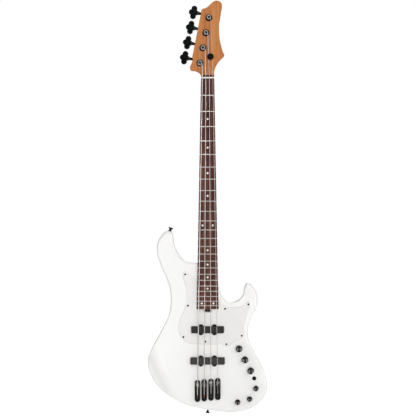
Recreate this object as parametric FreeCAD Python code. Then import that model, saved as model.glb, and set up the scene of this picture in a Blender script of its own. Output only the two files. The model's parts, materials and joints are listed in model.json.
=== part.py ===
import FreeCAD, Part
import math
import os

# Four-string electric bass guitar, standing upright with its front towards -Y.
# Millimetres. The origin is on the neck's middle at the nut's playing edge, in the
# plane of the body's front face. +Z runs up the neck, +X to the treble side.

# Scale and fretboard
scale_length = 863.6
fret_count = 24
string_count = 4
nut_width = 38.0
board_end_width = 62.0
board_overhang = 9.8
board_thickness = 6.0
board_radius = 305.0
board_rise = 10.0
board_behind_nut = 6.1

# Frets and dots
fret_width = 2.7
fret_height = 1.2
fret_inset = 0.3
tang_width = 0.6
tang_depth = 1.8
dot_radius = 2.8
dot_depth = 1.5
side_dot_radius = 1.0
single_dot_counts = (3, 5, 7, 9, 15, 17, 19, 21)
double_dot_counts = (12, 24)
double_dot_share = 0.27

# Nut
nut_thickness = 3.4
nut_slot_depth = 3.0
nut_top = 2.6

# Strings, low to high
string_diameters = (2.67, 2.16, 1.65, 1.14)
nut_spread = 30.0
bridge_spread = 57.8
string_rise_nut = 1.7
string_rise_saddle = 5.1
string_gap = 0.1
string_setback = 2.5
ball_radius = 3.0
ball_length = 5.4

# Neck
neck_depth_nut = 14.5
neck_depth_body = 17.5
neck_edge = 1.5
neck_corner_share = 0.46
heel_length = 118.0
heel_corner = 2.0
heel_blend = 34.0
pocket_depth = 16.0
pocket_gap = 0.1
pocket_lip = 2.0
truss_radius = 3.0
truss_depth = 7.0
truss_channel_gap = 0.2
truss_start = 24.0
truss_tail = 7.6
wheel_radius = 10.0
wheel_thickness = 6.6
wheel_gap = 0.4
wheel_fit = 0.06
wheel_holes = 6
wheel_hole_radius = 1.4
wheel_room = 1.2

# Headstock: the length grows with the tuner spacing, the outline is in shares of it
tuner_spacing = 44.1
head_margin = 91.0
head_width = 97.9
head_thickness = 15.0
head_face = 1.0
head_blend = 26.0
head_edge_round = 2.2
head_outline_shares = (
    (0.192, 0.092), (0.227, 0.145), (0.294, 0.200), (0.382, 0.246), (0.464, 0.281), (0.487, 0.301),
    (0.464, 0.326), (0.420, 0.379), (0.376, 0.450), (0.344, 0.536), (0.335, 0.614), (0.338, 0.692),
    (0.364, 0.776), (0.397, 0.862), (0.420, 0.921), (0.408, 0.959), (0.353, 0.988), (0.262, 1.000),
    (0.190, 0.992), (0.128, 0.972), (0.061, 0.944), (-0.006, 0.917), (-0.070, 0.902), (-0.134, 0.896),
    (-0.166, 0.886), (-0.183, 0.862), (-0.193, 0.840))
head_foot_shares = (
    (-0.451, 0.269), (-0.496, 0.170), (-0.513, 0.130), (-0.481, 0.105), (-0.405, 0.099), (-0.318, 0.088),
    (-0.242, 0.069), (-0.205, 0.048))

# Tuners, drawn once about the post and set along the headstock's straight edge
tuner_inset = 24.9
tuner_first = 11.4
post_radius = 7.0
post_waist_radius = 4.6
post_rise = 15.0
post_cap = 2.5
post_slot = 2.8
post_slot_depth = 1.9
post_hole_radius = 3.0
post_hole_depth = 7.0
post_neck_radius = 4.0
post_stub_radius = 3.0
post_round = 0.8
gear_screw_radius = 4.4
gear_screw_height = 1.5
bushing_radius = 8.8
bushing_depth = 9.0
flange_radius = 10.0
flange_height = 2.0
tuner_fit = 0.06
gear_teeth = 20
gear_pitch_radius = 6.2
gear_thickness = 3.0
gear_gap = 2.3
tooth_addendum = 0.5
tooth_dedendum = 0.7
tooth_tip = 0.36
tooth_root = 1.05
worm_pitch_radius = 2.5
thread_tip = 0.36
thread_root = 0.95
worm_length = 8.4
plate_thickness = 2.0
plate_width = 26.0
plate_below = 15.0
plate_above = 21.0
plate_corner = 4.0
plate_screw_inset = 3.4
lug_thickness = 2.4
lug_inner = 5.6
lug_half = 3.6
lug_gap = 0.7
key_shaft_radius = 1.8
key_collar_radius = 3.0
key_neck_radius = 4.2
key_stem_shares = (
    (-0.15, 0.85, 0.85), (0.05, 0.94, 0.94), (0.45, 1.20, 0.95), (0.75, 1.65, 0.75), (1.00, 2.20, 0.38))
key_reach = 46.3
key_thickness = 3.6
key_lobe_radius = 8.4
key_lobe_offset = 11.2
key_end_offset = 5.8
key_waist_radius = 11.2
key_round = 1.2
stem_point_count = 12

# Winding of each string on its post
winding_rise = 10.8
winding_gap = 0.55
winding_quarters = 9

# String retainer
retainer_radius = 9.3
retainer_thickness = 2.6
retainer_rise = 8.0
retainer_along = 62.0
retainer_post_radius = 2.6
retainer_screw_length = 9.0

# Body: outline in shares of its width and of its length, measured from the saddle line
body_length = 520.7
body_width = 343.5
body_thickness = 42.0
body_round = 6.0
rim_slack = 0.05
body_outline_shares = (
    (-0.030, 0.645), (-0.097, 0.650), (-0.180, 0.659), (-0.244, 0.701), (-0.280, 0.755), (-0.289, 0.800),
    (-0.304, 0.819), (-0.335, 0.823), (-0.381, 0.801), (-0.415, 0.760), (-0.421, 0.709), (-0.384, 0.627),
    (-0.324, 0.530), (-0.305, 0.445), (-0.324, 0.365), (-0.377, 0.288), (-0.456, 0.190), (-0.500, 0.111),
    (-0.479, 0.033), (-0.407, -0.039), (-0.283, -0.101), (-0.109, -0.146), (0.081, -0.167), (0.210, -0.173),
    (0.338, -0.158), (0.451, -0.109), (0.500, -0.029), (0.477, 0.046), (0.406, 0.140), (0.348, 0.216),
    (0.339, 0.285), (0.375, 0.360), (0.413, 0.430), (0.404, 0.488), (0.376, 0.517), (0.345, 0.536),
    (0.320, 0.532), (0.306, 0.511), (0.290, 0.467), (0.232, 0.435), (0.160, 0.436), (0.110, 0.475),
    (0.083, 0.550), (0.040, 0.612))
body_middle_share = (0.0, 0.25)
crease_shares = ((-0.415, 0.193), (-0.196, -0.111))
crease_radius = 40.0
crease_turn = 9.0
slope_radius = 190.0
slope_turn = 24.0
belly_radius = 260.0
belly_depth = 12.0
belly_share = (-0.350, 0.445)

# Pickguard
guard_thickness = 2.5
guard_bevel = 1.2
guard_gap = 0.4
guard_outline_shares = (
    (-0.093, 0.559), (-0.010, 0.512), (0.070, 0.463), (0.118, 0.431), (0.156, 0.412), (0.209, 0.404),
    (0.262, 0.407), (0.307, 0.422), (0.339, 0.440), (0.356, 0.434), (0.357, 0.417), (0.341, 0.385),
    (0.313, 0.335), (0.302, 0.290), (0.306, 0.254), (0.301, 0.240), (0.277, 0.231), (0.232, 0.222),
    (0.203, 0.207), (0.180, 0.193), (0.152, 0.190), (0.120, 0.199), (0.060, 0.201), (-0.040, 0.202),
    (-0.109, 0.203), (-0.160, 0.210), (-0.200, 0.225), (-0.229, 0.250), (-0.243, 0.290), (-0.229, 0.340),
    (-0.200, 0.385), (-0.178, 0.425), (-0.174, 0.480), (-0.186, 0.530), (-0.207, 0.572), (-0.205, 0.596),
    (-0.184, 0.604), (-0.160, 0.593))
guard_screw_shares = (
    (-0.187, 0.585), (-0.163, 0.414), (-0.201, 0.242), (-0.018, 0.217), (0.156, 0.203), (0.283, 0.249),
    (0.338, 0.421), (0.145, 0.397))

# Small plate screws
screw_head_radius = 2.4
plate_screw_head_radius = 2.8
screw_head_height = 1.3
screw_radius = 1.3
screw_length = 12.0
recess_width = 0.7
recess_depth = 0.7
recess_reach_share = 0.6

# Pickups: places are shares of the scale from the saddle line
pickup_shares = (0.1702, 0.0670)
pickup_lengths = (93.0, 97.8)
pickup_width = 19.8
pickup_corner = 3.0
pickup_rise = 10.0
pickup_ear_drop = 1.2
pickup_depth = 8.0
pickup_wall = 1.6
pickup_round = 1.0
ear_width = 15.2
ear_height = 30.8
ear_spacing = 38.8
ear_screw_offset = 12.5
pickup_gap = 0.4
pickup_cavity_depth = 16.0
coil_gap = 0.3
pole_radius = 2.3
pole_pair = 9.6

# Bridge rails, one for each string
rail_width = 15.7
rail_length = 62.7
rail_height = 9.0
rail_floor = 2.5
rail_front = 3.1
rail_step = 1.8
rail_channel = 10.6
rail_nose = 3.2
rail_mouth = 5.2
rail_round = 1.0
ball_room = 13.0
ball_wall = 5.0
ball_rise = 5.6
rail_screw_radius = 1.8
rail_screw_head = 2.9
rail_screw_head_height = 1.5
rail_screw_length = 15.0
rail_screw_back = 30.0
rail_screw_spacing = 11.0
saddle_back = 12.0
saddle_front_length = 4.6
saddle_rear_length = 9.0
saddle_fit = 0.12
saddle_lift = 2.0
saddle_drop = 3.4
saddle_cover_share = 0.25
set_screw_radius = 1.2
set_screw_spread = 6.6
set_screw_back = 3.0
set_screw_gap = 0.05

# Controls, in shares of the body from the saddle line: large knobs, switch, small knobs
large_knob_shares = ((0.260, 0.179), (0.309, 0.119), (0.357, 0.059))
switch_share = (0.387, 0.015)
small_knob_shares = ((0.401, -0.038), (0.348, -0.096), (0.249, -0.113))
large_knob_radius = 9.75
large_knob_height = 16.0
small_knob_radius = 7.75
small_knob_height = 14.0
knob_lift = 0.6
knob_round = 1.4
knob_dish = 0.7
knob_dish_share = 0.72
knob_room_radius = 6.4
knob_room_height = 2.6
top_wall = 6.0
pot_radius = 8.0
pot_height = 9.0
pot_thread_radius = 4.0
pot_shaft_radius = 3.0
pot_shaft_top = 11.0
pot_shaft_tail = 4.0
pot_hole_gap = 0.1
shaft_fit = 0.05
pot_nut_radius = 5.6
pot_nut_height = 2.0
switch_width = 8.0
switch_length = 13.0
switch_height = 11.0
switch_thread_radius = 3.6
switch_bore = 2.7
switch_nut_radius = 6.0
switch_nut_height = 2.4
lever_ball_fit = 0.08
lever_pin_radius = 0.8
lever_pin_reach = 0.6
lever_neck_radius = 1.2
lever_tip_radius = 2.1
lever_length = 11.5
cavity_radius = 17.0
cover_ledge = 6.0
cover_thickness = 2.5
cover_gap = 0.3
board_pad_radius = 14.0
board_pad_thickness = 1.6

# Battery box in the back
box_share = (0.111, -0.008)
box_width = 36.0
box_length = 64.0
box_depth = 24.0
box_wall = 2.0
box_gap = 0.1
lid_thickness = 2.6
lid_gap = 0.35
hinge_radius = 0.9
hinge_fit = 0.06
hinge_length = 1.4
box_ear = 7.0
box_ear_thickness = 2.0
battery_width = 26.5
battery_length = 46.0
battery_height = 17.0
battery_corner = 2.0

# Neck plate
neck_plate_width = 40.0
neck_plate_length = 52.0
neck_plate_thickness = 2.0
neck_plate_corner = 5.0
neck_plate_along = 39.5
neck_screw_inset = 6.0
neck_screw_radius = 2.3
neck_screw_head = 4.2
neck_screw_head_height = 2.4
neck_screw_length = 38.0

# Output socket in the lower treble edge
socket_share = (0.487, -0.066)
socket_depth = 27.0
socket_sink = 3.5
socket_flange_radius = 10.5
socket_flange_height = 2.0
socket_seat_gap = 0.5
socket_radius = 6.0
socket_bore = 3.25
socket_length = 33.0
socket_bore_length = 30.0
socket_round = 0.6

# Strap buttons
horn_button_share = (-0.314, 0.822)
tail_button_share = (0.003, -0.160)
button_seat = 1.4
button_seat_gap = 0.6
button_base_radius = 6.4
button_base_height = 1.8
button_waist_radius = 3.6
button_head_radius = 6.8
button_head_height = 3.4
button_height = 11.8
button_round = 0.8
button_bore = 2.1
button_screw_head = 4.0
button_screw_head_height = 2.6
button_screw_gap = 0.1
button_screw_length = 22.0

# Inner leads
lead_radius = 1.0
lead_depth = 12.5
lead_spacing = 3.5
lead_along = 28.0
lead_channel_radius = 3.0
lead_trunk_radius = 6.0
lead_end_gap = 0.3
lead_reach = 8.0
lead_side = 6.0
battery_lead_depth = 30.0
battery_channel_radius = 3.0
lead_setback = 6.0
arc_share = 0.45

# Room that a cutting shape takes beyond the face it opens
overrun = 1.0


def vec(x, y, z):
    return FreeCAD.Vector(x, y, z)


X_AXIS = vec(1, 0, 0)
Y_AXIS = vec(0, 1, 0)
Z_AXIS = vec(0, 0, 1)

saddle_line = -scale_length
glue_plane = board_thickness - board_rise
board_top = nut_thickness + board_behind_nut
board_bottom = scale_length * (2 ** (-fret_count / 12) - 1) - board_overhang
heel_top = board_bottom + heel_length
truss_y = glue_plane + truss_depth
head_back = head_face + head_thickness
head_length = head_margin + (string_count - 1) * tuner_spacing
gear_front = head_back + plate_thickness + gear_gap
key_y = gear_front + gear_thickness / 2
worm_offset = gear_pitch_radius + worm_pitch_radius
worm_lead = 2 * math.pi * gear_pitch_radius / gear_teeth


def box(x0, x1, y0, y1, z0, z1):
    return Part.makeBox(x1 - x0, y1 - y0, z1 - z0, vec(x0, y0, z0))


def rod(radius, start, end):
    run = end - start
    return Part.makeCylinder(radius, run.Length, start, run)


def placed(shape, base, direction):
    # shape drawn along +Z, moved so that +Z points in the direction
    copy = shape.copy()
    copy.Placement = FreeCAD.Placement(base, FreeCAD.Rotation(Z_AXIS, direction))
    return copy


def prism(wire, depth):
    return Part.Face(wire).extrude(vec(0, depth, 0))


def turned(profile, centre, axis):
    # solid of revolution of a closed list of points
    wire = Part.makePolygon(profile + [profile[0]])
    return Part.Face(wire).revolve(centre, axis, 360)


def spline(points):
    curve = Part.BSplineCurve()
    curve.interpolate(Points=points, PeriodicFlag=True)
    return curve


def spline_wire(curve):
    # closed curve as a wire of several runs, four spans in each
    knots = curve.getKnots()
    cuts = list(knots[:-1:4]) + [knots[-1]]
    return Part.Wire([curve.toShape(a, b) for a, b in zip(cuts, cuts[1:])])


def rounded_plate(x0, x1, z0, z1, y0, y1, corner):
    block = box(x0, x1, y0, y1, z0, z1)
    edges = [e for e in block.Edges if abs(e.tangentAt(e.FirstParameter).y) > 0.5]
    return block.makeFillet(corner, edges)


def capsule(radius, start, end, y0, y1):
    # upright stadium between two points in plan
    a = vec(start.x, y0, start.z)
    b = vec(end.x, y0, end.z)
    depth = vec(0, y1 - y0, 0)
    side = (b - a).normalize().cross(Y_AXIS) * radius
    along = (b - a).normalize() * radius
    edges = [Part.LineSegment(a + side, b + side).toShape(),
             Part.Arc(b + side, b + along, b - side).toShape(),
             Part.LineSegment(b - side, a - side).toShape(),
             Part.Arc(a - side, a - along, a + side).toShape()]
    return Part.Face(Part.Wire(edges)).extrude(depth)


def capsule_chain(radius, points, y0, y1):
    links = [capsule(radius, a, b, y0, y1) for a, b in zip(points, points[1:])]
    chain = links[0]
    if len(links) > 1:
        chain = chain.fuse(links[1:])
    return chain.removeSplitter()


def screw(head_radius, head_height, radius, length):
    # domed cross-head screw along +Z, its head below z = 0
    dome_radius = (head_radius ** 2 + head_height ** 2) / (2 * head_height)
    ball = Part.makeSphere(dome_radius, vec(0, 0, dome_radius - head_height))
    head = ball.common(Part.makeCylinder(head_radius + overrun, head_height, vec(0, 0, -head_height)))
    arm = head_radius * recess_reach_share
    half = recess_width / 2
    low = -head_height - overrun
    top = recess_depth - head_height
    cross = box(-arm, arm, -half, half, low, top).fuse(box(-half, half, -arm, arm, low, top))
    return head.fuse(Part.makeCylinder(radius, length)).cut(cross.removeSplitter())


def tangent_path(points, setbacks):
    # straight runs joined by tangent arcs that start a setback away from each corner
    edges = []
    last = points[0]
    for before, corner, after, setback in zip(points, points[1:], points[2:], setbacks):
        u = (corner - before).normalize()
        v = (after - corner).normalize()
        half = u.getAngle(v) / 2
        start = corner - u * setback
        end = corner + v * setback
        middle = (start + end) / 2
        crown = middle + (corner - middle) * (math.cos(half) / (1 + math.cos(half)))
        edges.append(Part.LineSegment(last, start).toShape())
        edges.append(Part.Arc(start, crown, end).toShape())
        last = end
    edges.append(Part.LineSegment(last, points[-1]).toShape())
    return edges


def biarc(p0, t0, p1, t1):
    # two arcs, tangent to each other, between two points with given directions
    v = p1 - p0
    t = t0 + t1
    spread = 2 * (1 - t0.dot(t1))
    reach = (math.sqrt(v.dot(t) ** 2 + 2 * spread * v.dot(v)) - v.dot(t)) / spread
    q0 = p0 + t0 * reach
    q1 = p1 - t1 * reach
    joint = (q0 + q1) / 2
    arcs = []
    for start, corner, end in ((p0, q0, joint), (joint, q1, p1)):
        middle = (start + end) / 2
        half = (corner - start).getAngle(end - corner) / 2
        crown = middle + (corner - middle) * (math.cos(half) / (1 + math.cos(half)))
        arcs.append(Part.Arc(start, crown, end).toShape())
    return arcs


def tube(edges, radius):
    first = edges[0]
    start = first.valueAt(first.FirstParameter)
    heading = first.tangentAt(first.FirstParameter)
    ring = Part.Wire([Part.Circle(start, heading, radius).toShape()])
    return Part.Wire(edges).makePipeShell([ring], True, False)


def lead(points):
    # inner lead whose arcs are as large as its runs and its channels allow
    runs = [(b - a).Length for a, b in zip(points, points[1:])]
    setbacks = [min(lead_setback, arc_share * min(a, b)) for a, b in zip(runs, runs[1:])]
    return tube(tangent_path(points, setbacks), lead_radius)


def save(name, shapes):
    solids = []
    for shape in shapes:
        solids.extend(shape.Solids)
    Part.makeCompound(solids).exportStep("parts/" + name + ".step")
    print(name, len(solids), all(s.isValid() for s in solids), round(sum(s.Volume for s in solids), 1))


# Places that several pieces share

def board_width(z):
    return nut_width + (board_end_width - nut_width) * z / board_bottom


def fret_place(number):
    return scale_length * (2 ** (-number / 12) - 1)


def board_drop(x):
    # how far the curved playing surface lies behind its middle
    return board_radius - math.sqrt(board_radius ** 2 - x ** 2)


def body_point(share, y):
    return vec(share[0] * body_width, y, saddle_line + share[1] * body_length)


def string_place(index, spread):
    return spread * (index / (string_count - 1) - 0.5)


def rail_front_z(index):
    return saddle_line + rail_front + (index + 1) * rail_step - rail_step / 2


def saddle_point(index):
    x = string_place(index, bridge_spread)
    y = board_drop(x) - board_rise - string_rise_saddle - string_diameters[index] / 2
    return vec(x, y, rail_front_z(index) - saddle_back)


def nut_point(index):
    x = string_place(index, nut_spread)
    y = board_drop(x) - board_rise - string_rise_nut - string_diameters[index] / 2
    return vec(x, y, nut_thickness / 2)


def ball_point(index):
    return vec(string_place(index, bridge_spread), -ball_rise,
               rail_front_z(index) - rail_length + rail_width / 2 + ball_radius / 2)


def pickup_z(index):
    return saddle_line + pickup_shares[index] * scale_length


def head_point(share):
    return vec(share[0] * head_width, head_face, share[1] * head_length)


def head_edge():
    # direction along the straight tuner edge, and outward from it
    low = head_point(head_foot_shares[1])
    high = head_point(head_outline_shares[-1])
    along = (high - low).normalize()
    return low, along, along.cross(Y_AXIS)


def tuner_post(index):
    low, along, outward = head_edge()
    return low + along * (tuner_first + index * tuner_spacing) - outward * tuner_inset


def tuner_placement(index):
    low, along, outward = head_edge()
    turn = math.degrees(math.atan2(along.x, along.z))
    base = tuner_post(index)
    return FreeCAD.Placement(vec(base.x, 0, base.z), FreeCAD.Rotation(Y_AXIS, turn))


def at_tuner(shape, index):
    copy = shape.copy()
    copy.Placement = tuner_placement(index)
    return copy


def body_curve():
    return spline([body_point(share, 0) for share in body_outline_shares])


def edge_seat(share):
    # nearest point of the body's outline and the direction out of it
    curve = body_curve()
    place = curve.parameter(body_point(share, 0))
    point = curve.value(place)
    tangent = vec(*curve.tangent(place)[0])
    outward = tangent.cross(Y_AXIS).normalize()
    centre = body_point(body_middle_share, 0)
    if outward.dot(point - centre) < 0:
        outward = outward * -1
    return point, outward


def controls():
    shares = large_knob_shares + (switch_share,) + small_knob_shares
    return [body_point(share, 0) for share in shares]


# Neck, fretboard and what they carry

def board_plan(y0, y1, widen):
    points = []
    for x_sign, z in ((-1, board_bottom), (1, board_bottom), (1, board_top), (-1, board_top)):
        points.append(vec(x_sign * (board_width(z) / 2 + widen), y0, z))
    return prism(Part.makePolygon(points + [points[0]]), y1 - y0)


def board_barrel(extra):
    base = vec(0, board_radius - board_rise, board_bottom - overrun)
    return Part.makeCylinder(board_radius + extra, board_top - board_bottom + 2 * overrun, base, Z_AXIS)


def swept_fret(profile, width):
    # profile in the middle plane, turned about the axis of the playing surface
    wire = Part.makePolygon(profile + [profile[0]])
    centre = vec(0, board_radius - board_rise, 0)
    half = math.degrees(math.asin(width / 2 / board_radius))
    face = Part.Face(wire)
    face.rotate(centre, Z_AXIS, -half)
    return face.revolve(centre, Z_AXIS, 2 * half)


def make_frets():
    frets = []
    for number in range(1, fret_count + 1):
        z = fret_place(number)
        half = fret_width / 2
        tang = tang_width / 2
        crown = [vec(0, -board_rise, z - half)]
        for step in range(1, 6):
            angle = math.pi * step / 6
            crown.append(vec(0, -board_rise - fret_height * math.sin(angle), z - half * math.cos(angle)))
        crown.append(vec(0, -board_rise, z + half))
        foot = [vec(0, -board_rise, z + tang), vec(0, tang_depth - board_rise, z + tang),
                vec(0, tang_depth - board_rise, z - tang), vec(0, -board_rise, z - tang)]
        frets.append(swept_fret(crown + foot, board_width(z) - 2 * fret_inset))
    return frets


def fret_slots():
    slots = []
    tang = tang_width / 2
    for number in range(1, fret_count + 1):
        z = fret_place(number)
        profile = [vec(0, -board_rise - overrun, z - tang), vec(0, -board_rise - overrun, z + tang),
                   vec(0, tang_depth - board_rise, z + tang), vec(0, tang_depth - board_rise, z - tang)]
        slots.append(swept_fret(profile, board_width(z) + 2 * overrun))
    return slots


def dot_rods():
    # pins through the playing surface, and pins in the bass edge
    face_pins = []
    edge_pins = []
    for number in sorted(single_dot_counts + double_dot_counts):
        z = (fret_place(number) + fret_place(number - 1)) / 2
        places = [0]
        if number in double_dot_counts:
            places = [-double_dot_share * board_width(z), double_dot_share * board_width(z)]
        for x in places:
            top = board_drop(x) - board_rise
            face_pins.append(rod(dot_radius, vec(x, top + dot_depth, z), vec(x, top - overrun, z)))
        side = -board_width(z) / 2
        y = glue_plane - board_thickness / 2
        edge_pins.append(rod(side_dot_radius, vec(side + dot_depth, y, z), vec(side - overrun, y, z)))
    return face_pins, edge_pins


def nut_slot():
    floor = nut_slot_depth - board_rise
    return box(-nut_width, nut_width, -board_rise - nut_top - overrun, floor, 0, nut_thickness)


def make_fretboard():
    face_pins, edge_pins = dot_rods()
    blank = board_plan(-board_rise - overrun, glue_plane, 0).common(board_barrel(0))
    return blank.cut(fret_slots() + face_pins + edge_pins + [nut_slot()])


def make_dots():
    face_pins, edge_pins = dot_rods()
    barrel = board_barrel(0)
    plan = board_plan(-board_rise - overrun, glue_plane, 0)
    return [pin.common(barrel) for pin in face_pins] + [pin.common(plan) for pin in edge_pins]


def make_nut():
    blank = board_plan(-board_rise - nut_top - overrun, glue_plane, 0).common(nut_slot())
    blank = blank.common(board_barrel(nut_top))
    grooves = []
    for index in range(string_count):
        point = nut_point(index)
        radius = string_diameters[index] / 2 + string_gap
        grooves.append(string_groove(index, 2, nut_thickness))
        grooves.append(box(point.x - radius, point.x + radius, point.y - board_rise, point.y,
                           -overrun, nut_thickness + overrun))
    return blank.cut(grooves)


def neck_section(z, width, top, depth, corner_x, corner_y):
    # flat front, straight cheeks, elliptical corners into a flat back
    half = width / 2
    back = top + depth
    points = [vec(-half, top, z), vec(-half, back - corner_y, z), vec(corner_x - half, back, z),
              vec(half - corner_x, back, z), vec(half, back - corner_y, z), vec(half, top, z)]
    edges = [Part.LineSegment(points[0], points[1]).toShape(),
             quarter(points[1], vec(-half, back, z), points[2]),
             Part.LineSegment(points[2], points[3]).toShape(),
             quarter(points[3], vec(half, back, z), points[4]),
             Part.LineSegment(points[4], points[5]).toShape(),
             Part.LineSegment(points[5], points[0]).toShape()]
    return Part.Wire(edges)


def quarter(start, corner, end):
    curve = Part.BezierCurve()
    curve.setPoles([start, corner, end])
    curve.setWeight(2, math.sqrt(0.5))
    return curve.toShape()


def eased(share):
    return share * share * (3 - 2 * share)


def blend(z0, z1, from_values, to_values):
    # sections whose sizes ease from one set to the other
    sections = []
    steps = 6
    for step in range(steps + 1):
        share = step / steps
        ease = eased(share)
        z = z0 + (z1 - z0) * share
        values = [a + (b - a) * ease for a, b in zip(from_values, to_values)]
        sections.append(neck_section(z, board_width(z), *values))
    return Part.makeLoft(sections, True, False)


def head_outline():
    upper = [head_point(share) for share in head_outline_shares]
    foot = [head_point(share) for share in head_foot_shares]
    right = Part.BSplineCurve()
    right.interpolate(upper)
    left = Part.BSplineCurve()
    left.interpolate(foot)
    edge = Part.LineSegment(upper[-1], foot[0])
    inner = nut_width / 3
    mouth = [foot[-1], vec(-inner, head_face, foot[-1].z), vec(-inner, head_face, head_blend),
             vec(inner, head_face, head_blend), vec(inner, head_face, upper[0].z), upper[0]]
    edges = [right.toShape(), edge.toShape(), left.toShape()]
    edges.extend(Part.LineSegment(a, b).toShape() for a, b in zip(mouth, mouth[1:]))
    return Part.Wire(edges)


def head_ramp():
    # wedge that thins the headstock's back towards the neck
    back = head_back + overrun
    points = [vec(-head_width, head_face + neck_edge, 0), vec(-head_width, back, board_top + head_blend),
              vec(-head_width, back, 0)]
    return Part.Face(Part.makePolygon(points + [points[0]])).extrude(vec(2 * head_width, 0, 0))


def make_neck():
    nut_shape = (glue_plane, neck_depth_nut, nut_width * neck_corner_share, neck_depth_nut - neck_edge)
    wide = board_width(heel_top) * neck_corner_share
    body_shape = (glue_plane, neck_depth_body, wide, neck_depth_body - neck_edge)
    heel_shape = (glue_plane, pocket_depth - glue_plane, heel_corner, heel_corner)
    head_shape = (head_face, head_thickness, head_edge_round, head_edge_round)
    shaft_end = heel_top + heel_blend
    shaft = Part.makeLoft([neck_section(shaft_end, board_width(shaft_end), *body_shape),
                           neck_section(board_top, board_width(board_top), *nut_shape)], True, True)
    heel = Part.makeLoft([neck_section(board_bottom, board_width(board_bottom), *heel_shape),
                          neck_section(heel_top, board_width(heel_top), *heel_shape)], True, True)
    throat = blend(board_top, board_top + head_blend, nut_shape, head_shape)
    root = blend(heel_top, shaft_end, heel_shape, body_shape)
    head = prism(head_outline(), head_thickness)
    flat = [e for e in head.Edges if abs(e.tangentAt(e.FirstParameter).y) < 0.5]
    rims = [e for e in flat if e.CenterOfMass.z > head_blend and e.Length > head_blend]
    head = head.makeFillet(head_edge_round, rims).cut(head_ramp())
    neck = shaft.fuse([heel, throat, root, head]).removeSplitter()
    channel_half = truss_radius + truss_channel_gap
    cuts = [box(-channel_half, channel_half, glue_plane - overrun, truss_y + channel_half,
                board_bottom - overrun, -truss_start)]
    for index in range(string_count):
        post = tuner_post(index)
        cuts.append(rod(bushing_radius, vec(post.x, head_face - overrun, post.z),
                        vec(post.x, head_back + overrun, post.z)))
    cuts.extend(headstock_screw_rods())
    cuts.extend(neck_screw_rods())
    return neck.cut(cuts)


def make_truss_rod():
    start = vec(0, truss_y, board_bottom - truss_tail)
    return rod(truss_radius, start, vec(0, truss_y, -truss_start - truss_channel_gap))


def make_truss_wheel():
    top = vec(0, truss_y, board_bottom - wheel_gap)
    bottom = vec(0, truss_y, board_bottom - wheel_gap - wheel_thickness)
    bore = rod(truss_radius + wheel_fit, top + Z_AXIS * overrun, bottom - Z_AXIS * overrun)
    wheel = rod(wheel_radius, top, bottom).cut(bore)
    middle = (top + bottom) / 2
    holes = []
    for number in range(wheel_holes):
        angle = 2 * math.pi * number / wheel_holes
        spoke = vec(math.sin(angle), -math.cos(angle), 0)
        holes.append(rod(wheel_hole_radius, middle + spoke * (truss_radius + wheel_room),
                         middle + spoke * (wheel_radius + overrun)))
    return wheel.cut(holes)


# Tuners, drawn about the post with the key towards -X

def make_post():
    face = head_face - flange_height
    top = head_face - post_rise
    waist_top = top + post_cap
    neck_start = head_back - tuner_fit
    shoulder = post_radius - post_cap / 2
    profile = [vec(0, top, 0), vec(shoulder, top, 0), vec(post_radius, top + post_round, 0),
               vec(post_radius, waist_top, 0), vec(post_waist_radius, waist_top, 0),
               vec(post_waist_radius, face, 0), vec(post_radius, face, 0),
               vec(post_radius, neck_start, 0), vec(post_neck_radius, neck_start, 0),
               vec(post_neck_radius, gear_front, 0), vec(post_stub_radius, gear_front, 0),
               vec(post_stub_radius, gear_front + gear_thickness, 0),
               vec(gear_screw_radius, gear_front + gear_thickness, 0),
               vec(gear_screw_radius, gear_front + gear_thickness + gear_screw_height, 0),
               vec(0, gear_front + gear_thickness + gear_screw_height, 0)]
    post = turned(profile, vec(0, 0, 0), Y_AXIS)
    hole = rod(post_hole_radius, vec(0, top - overrun, 0), vec(0, top + post_hole_depth, 0))
    across = post_radius + overrun
    slot = box(-across, across, top - overrun, top + post_slot_depth, -post_slot / 2, post_slot / 2)
    drive_depth = gear_front + gear_thickness + gear_screw_height
    drive = box(-gear_screw_radius, gear_screw_radius, drive_depth - recess_depth, drive_depth + overrun,
                -recess_width / 2, recess_width / 2)
    return post.cut([hole, slot, drive])


def make_gear():
    # the tooth at the top stands in the worm's thread
    points = []
    root_radius = gear_pitch_radius - tooth_dedendum
    tip_radius = gear_pitch_radius + tooth_addendum
    for number in range(gear_teeth):
        middle = 2 * math.pi * number / gear_teeth
        for radius, half in ((root_radius, -tooth_root / 2), (tip_radius, -tooth_tip / 2),
                             (tip_radius, tooth_tip / 2), (root_radius, tooth_root / 2)):
            angle = middle + half / radius
            points.append(vec(radius * math.sin(angle), gear_front, radius * math.cos(angle)))
    gear = prism(Part.makePolygon(points + [points[0]]), gear_thickness)
    return gear.cut(rod(post_stub_radius, vec(0, gear_front - overrun, 0),
                        vec(0, gear_front + gear_thickness + overrun, 0)))


def make_worm():
    # thread along +Z with a crest on its -X side at mid length
    root = worm_pitch_radius - tooth_dedendum
    tip = worm_pitch_radius + tooth_addendum
    turns = worm_length / worm_lead
    path = Part.makeHelix(worm_lead, worm_length, worm_pitch_radius)
    inner = root - tooth_dedendum / 2
    flare = thread_root + (thread_root - thread_tip) * (tooth_dedendum / 2) / (tip - root)
    profile = [vec(inner, 0, -flare / 2), vec(tip, 0, -thread_tip / 2), vec(tip, 0, thread_tip / 2),
               vec(inner, 0, flare / 2)]
    ring = Part.makePolygon(profile + [profile[0]])
    thread = Part.Wire(path).makePipeShell([ring], True, True)
    thread.translate(vec(0, 0, -worm_length / 2))
    thread.rotate(vec(0, 0, 0), Z_AXIS, 180 - 360 * turns / 2)
    return thread


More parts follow.
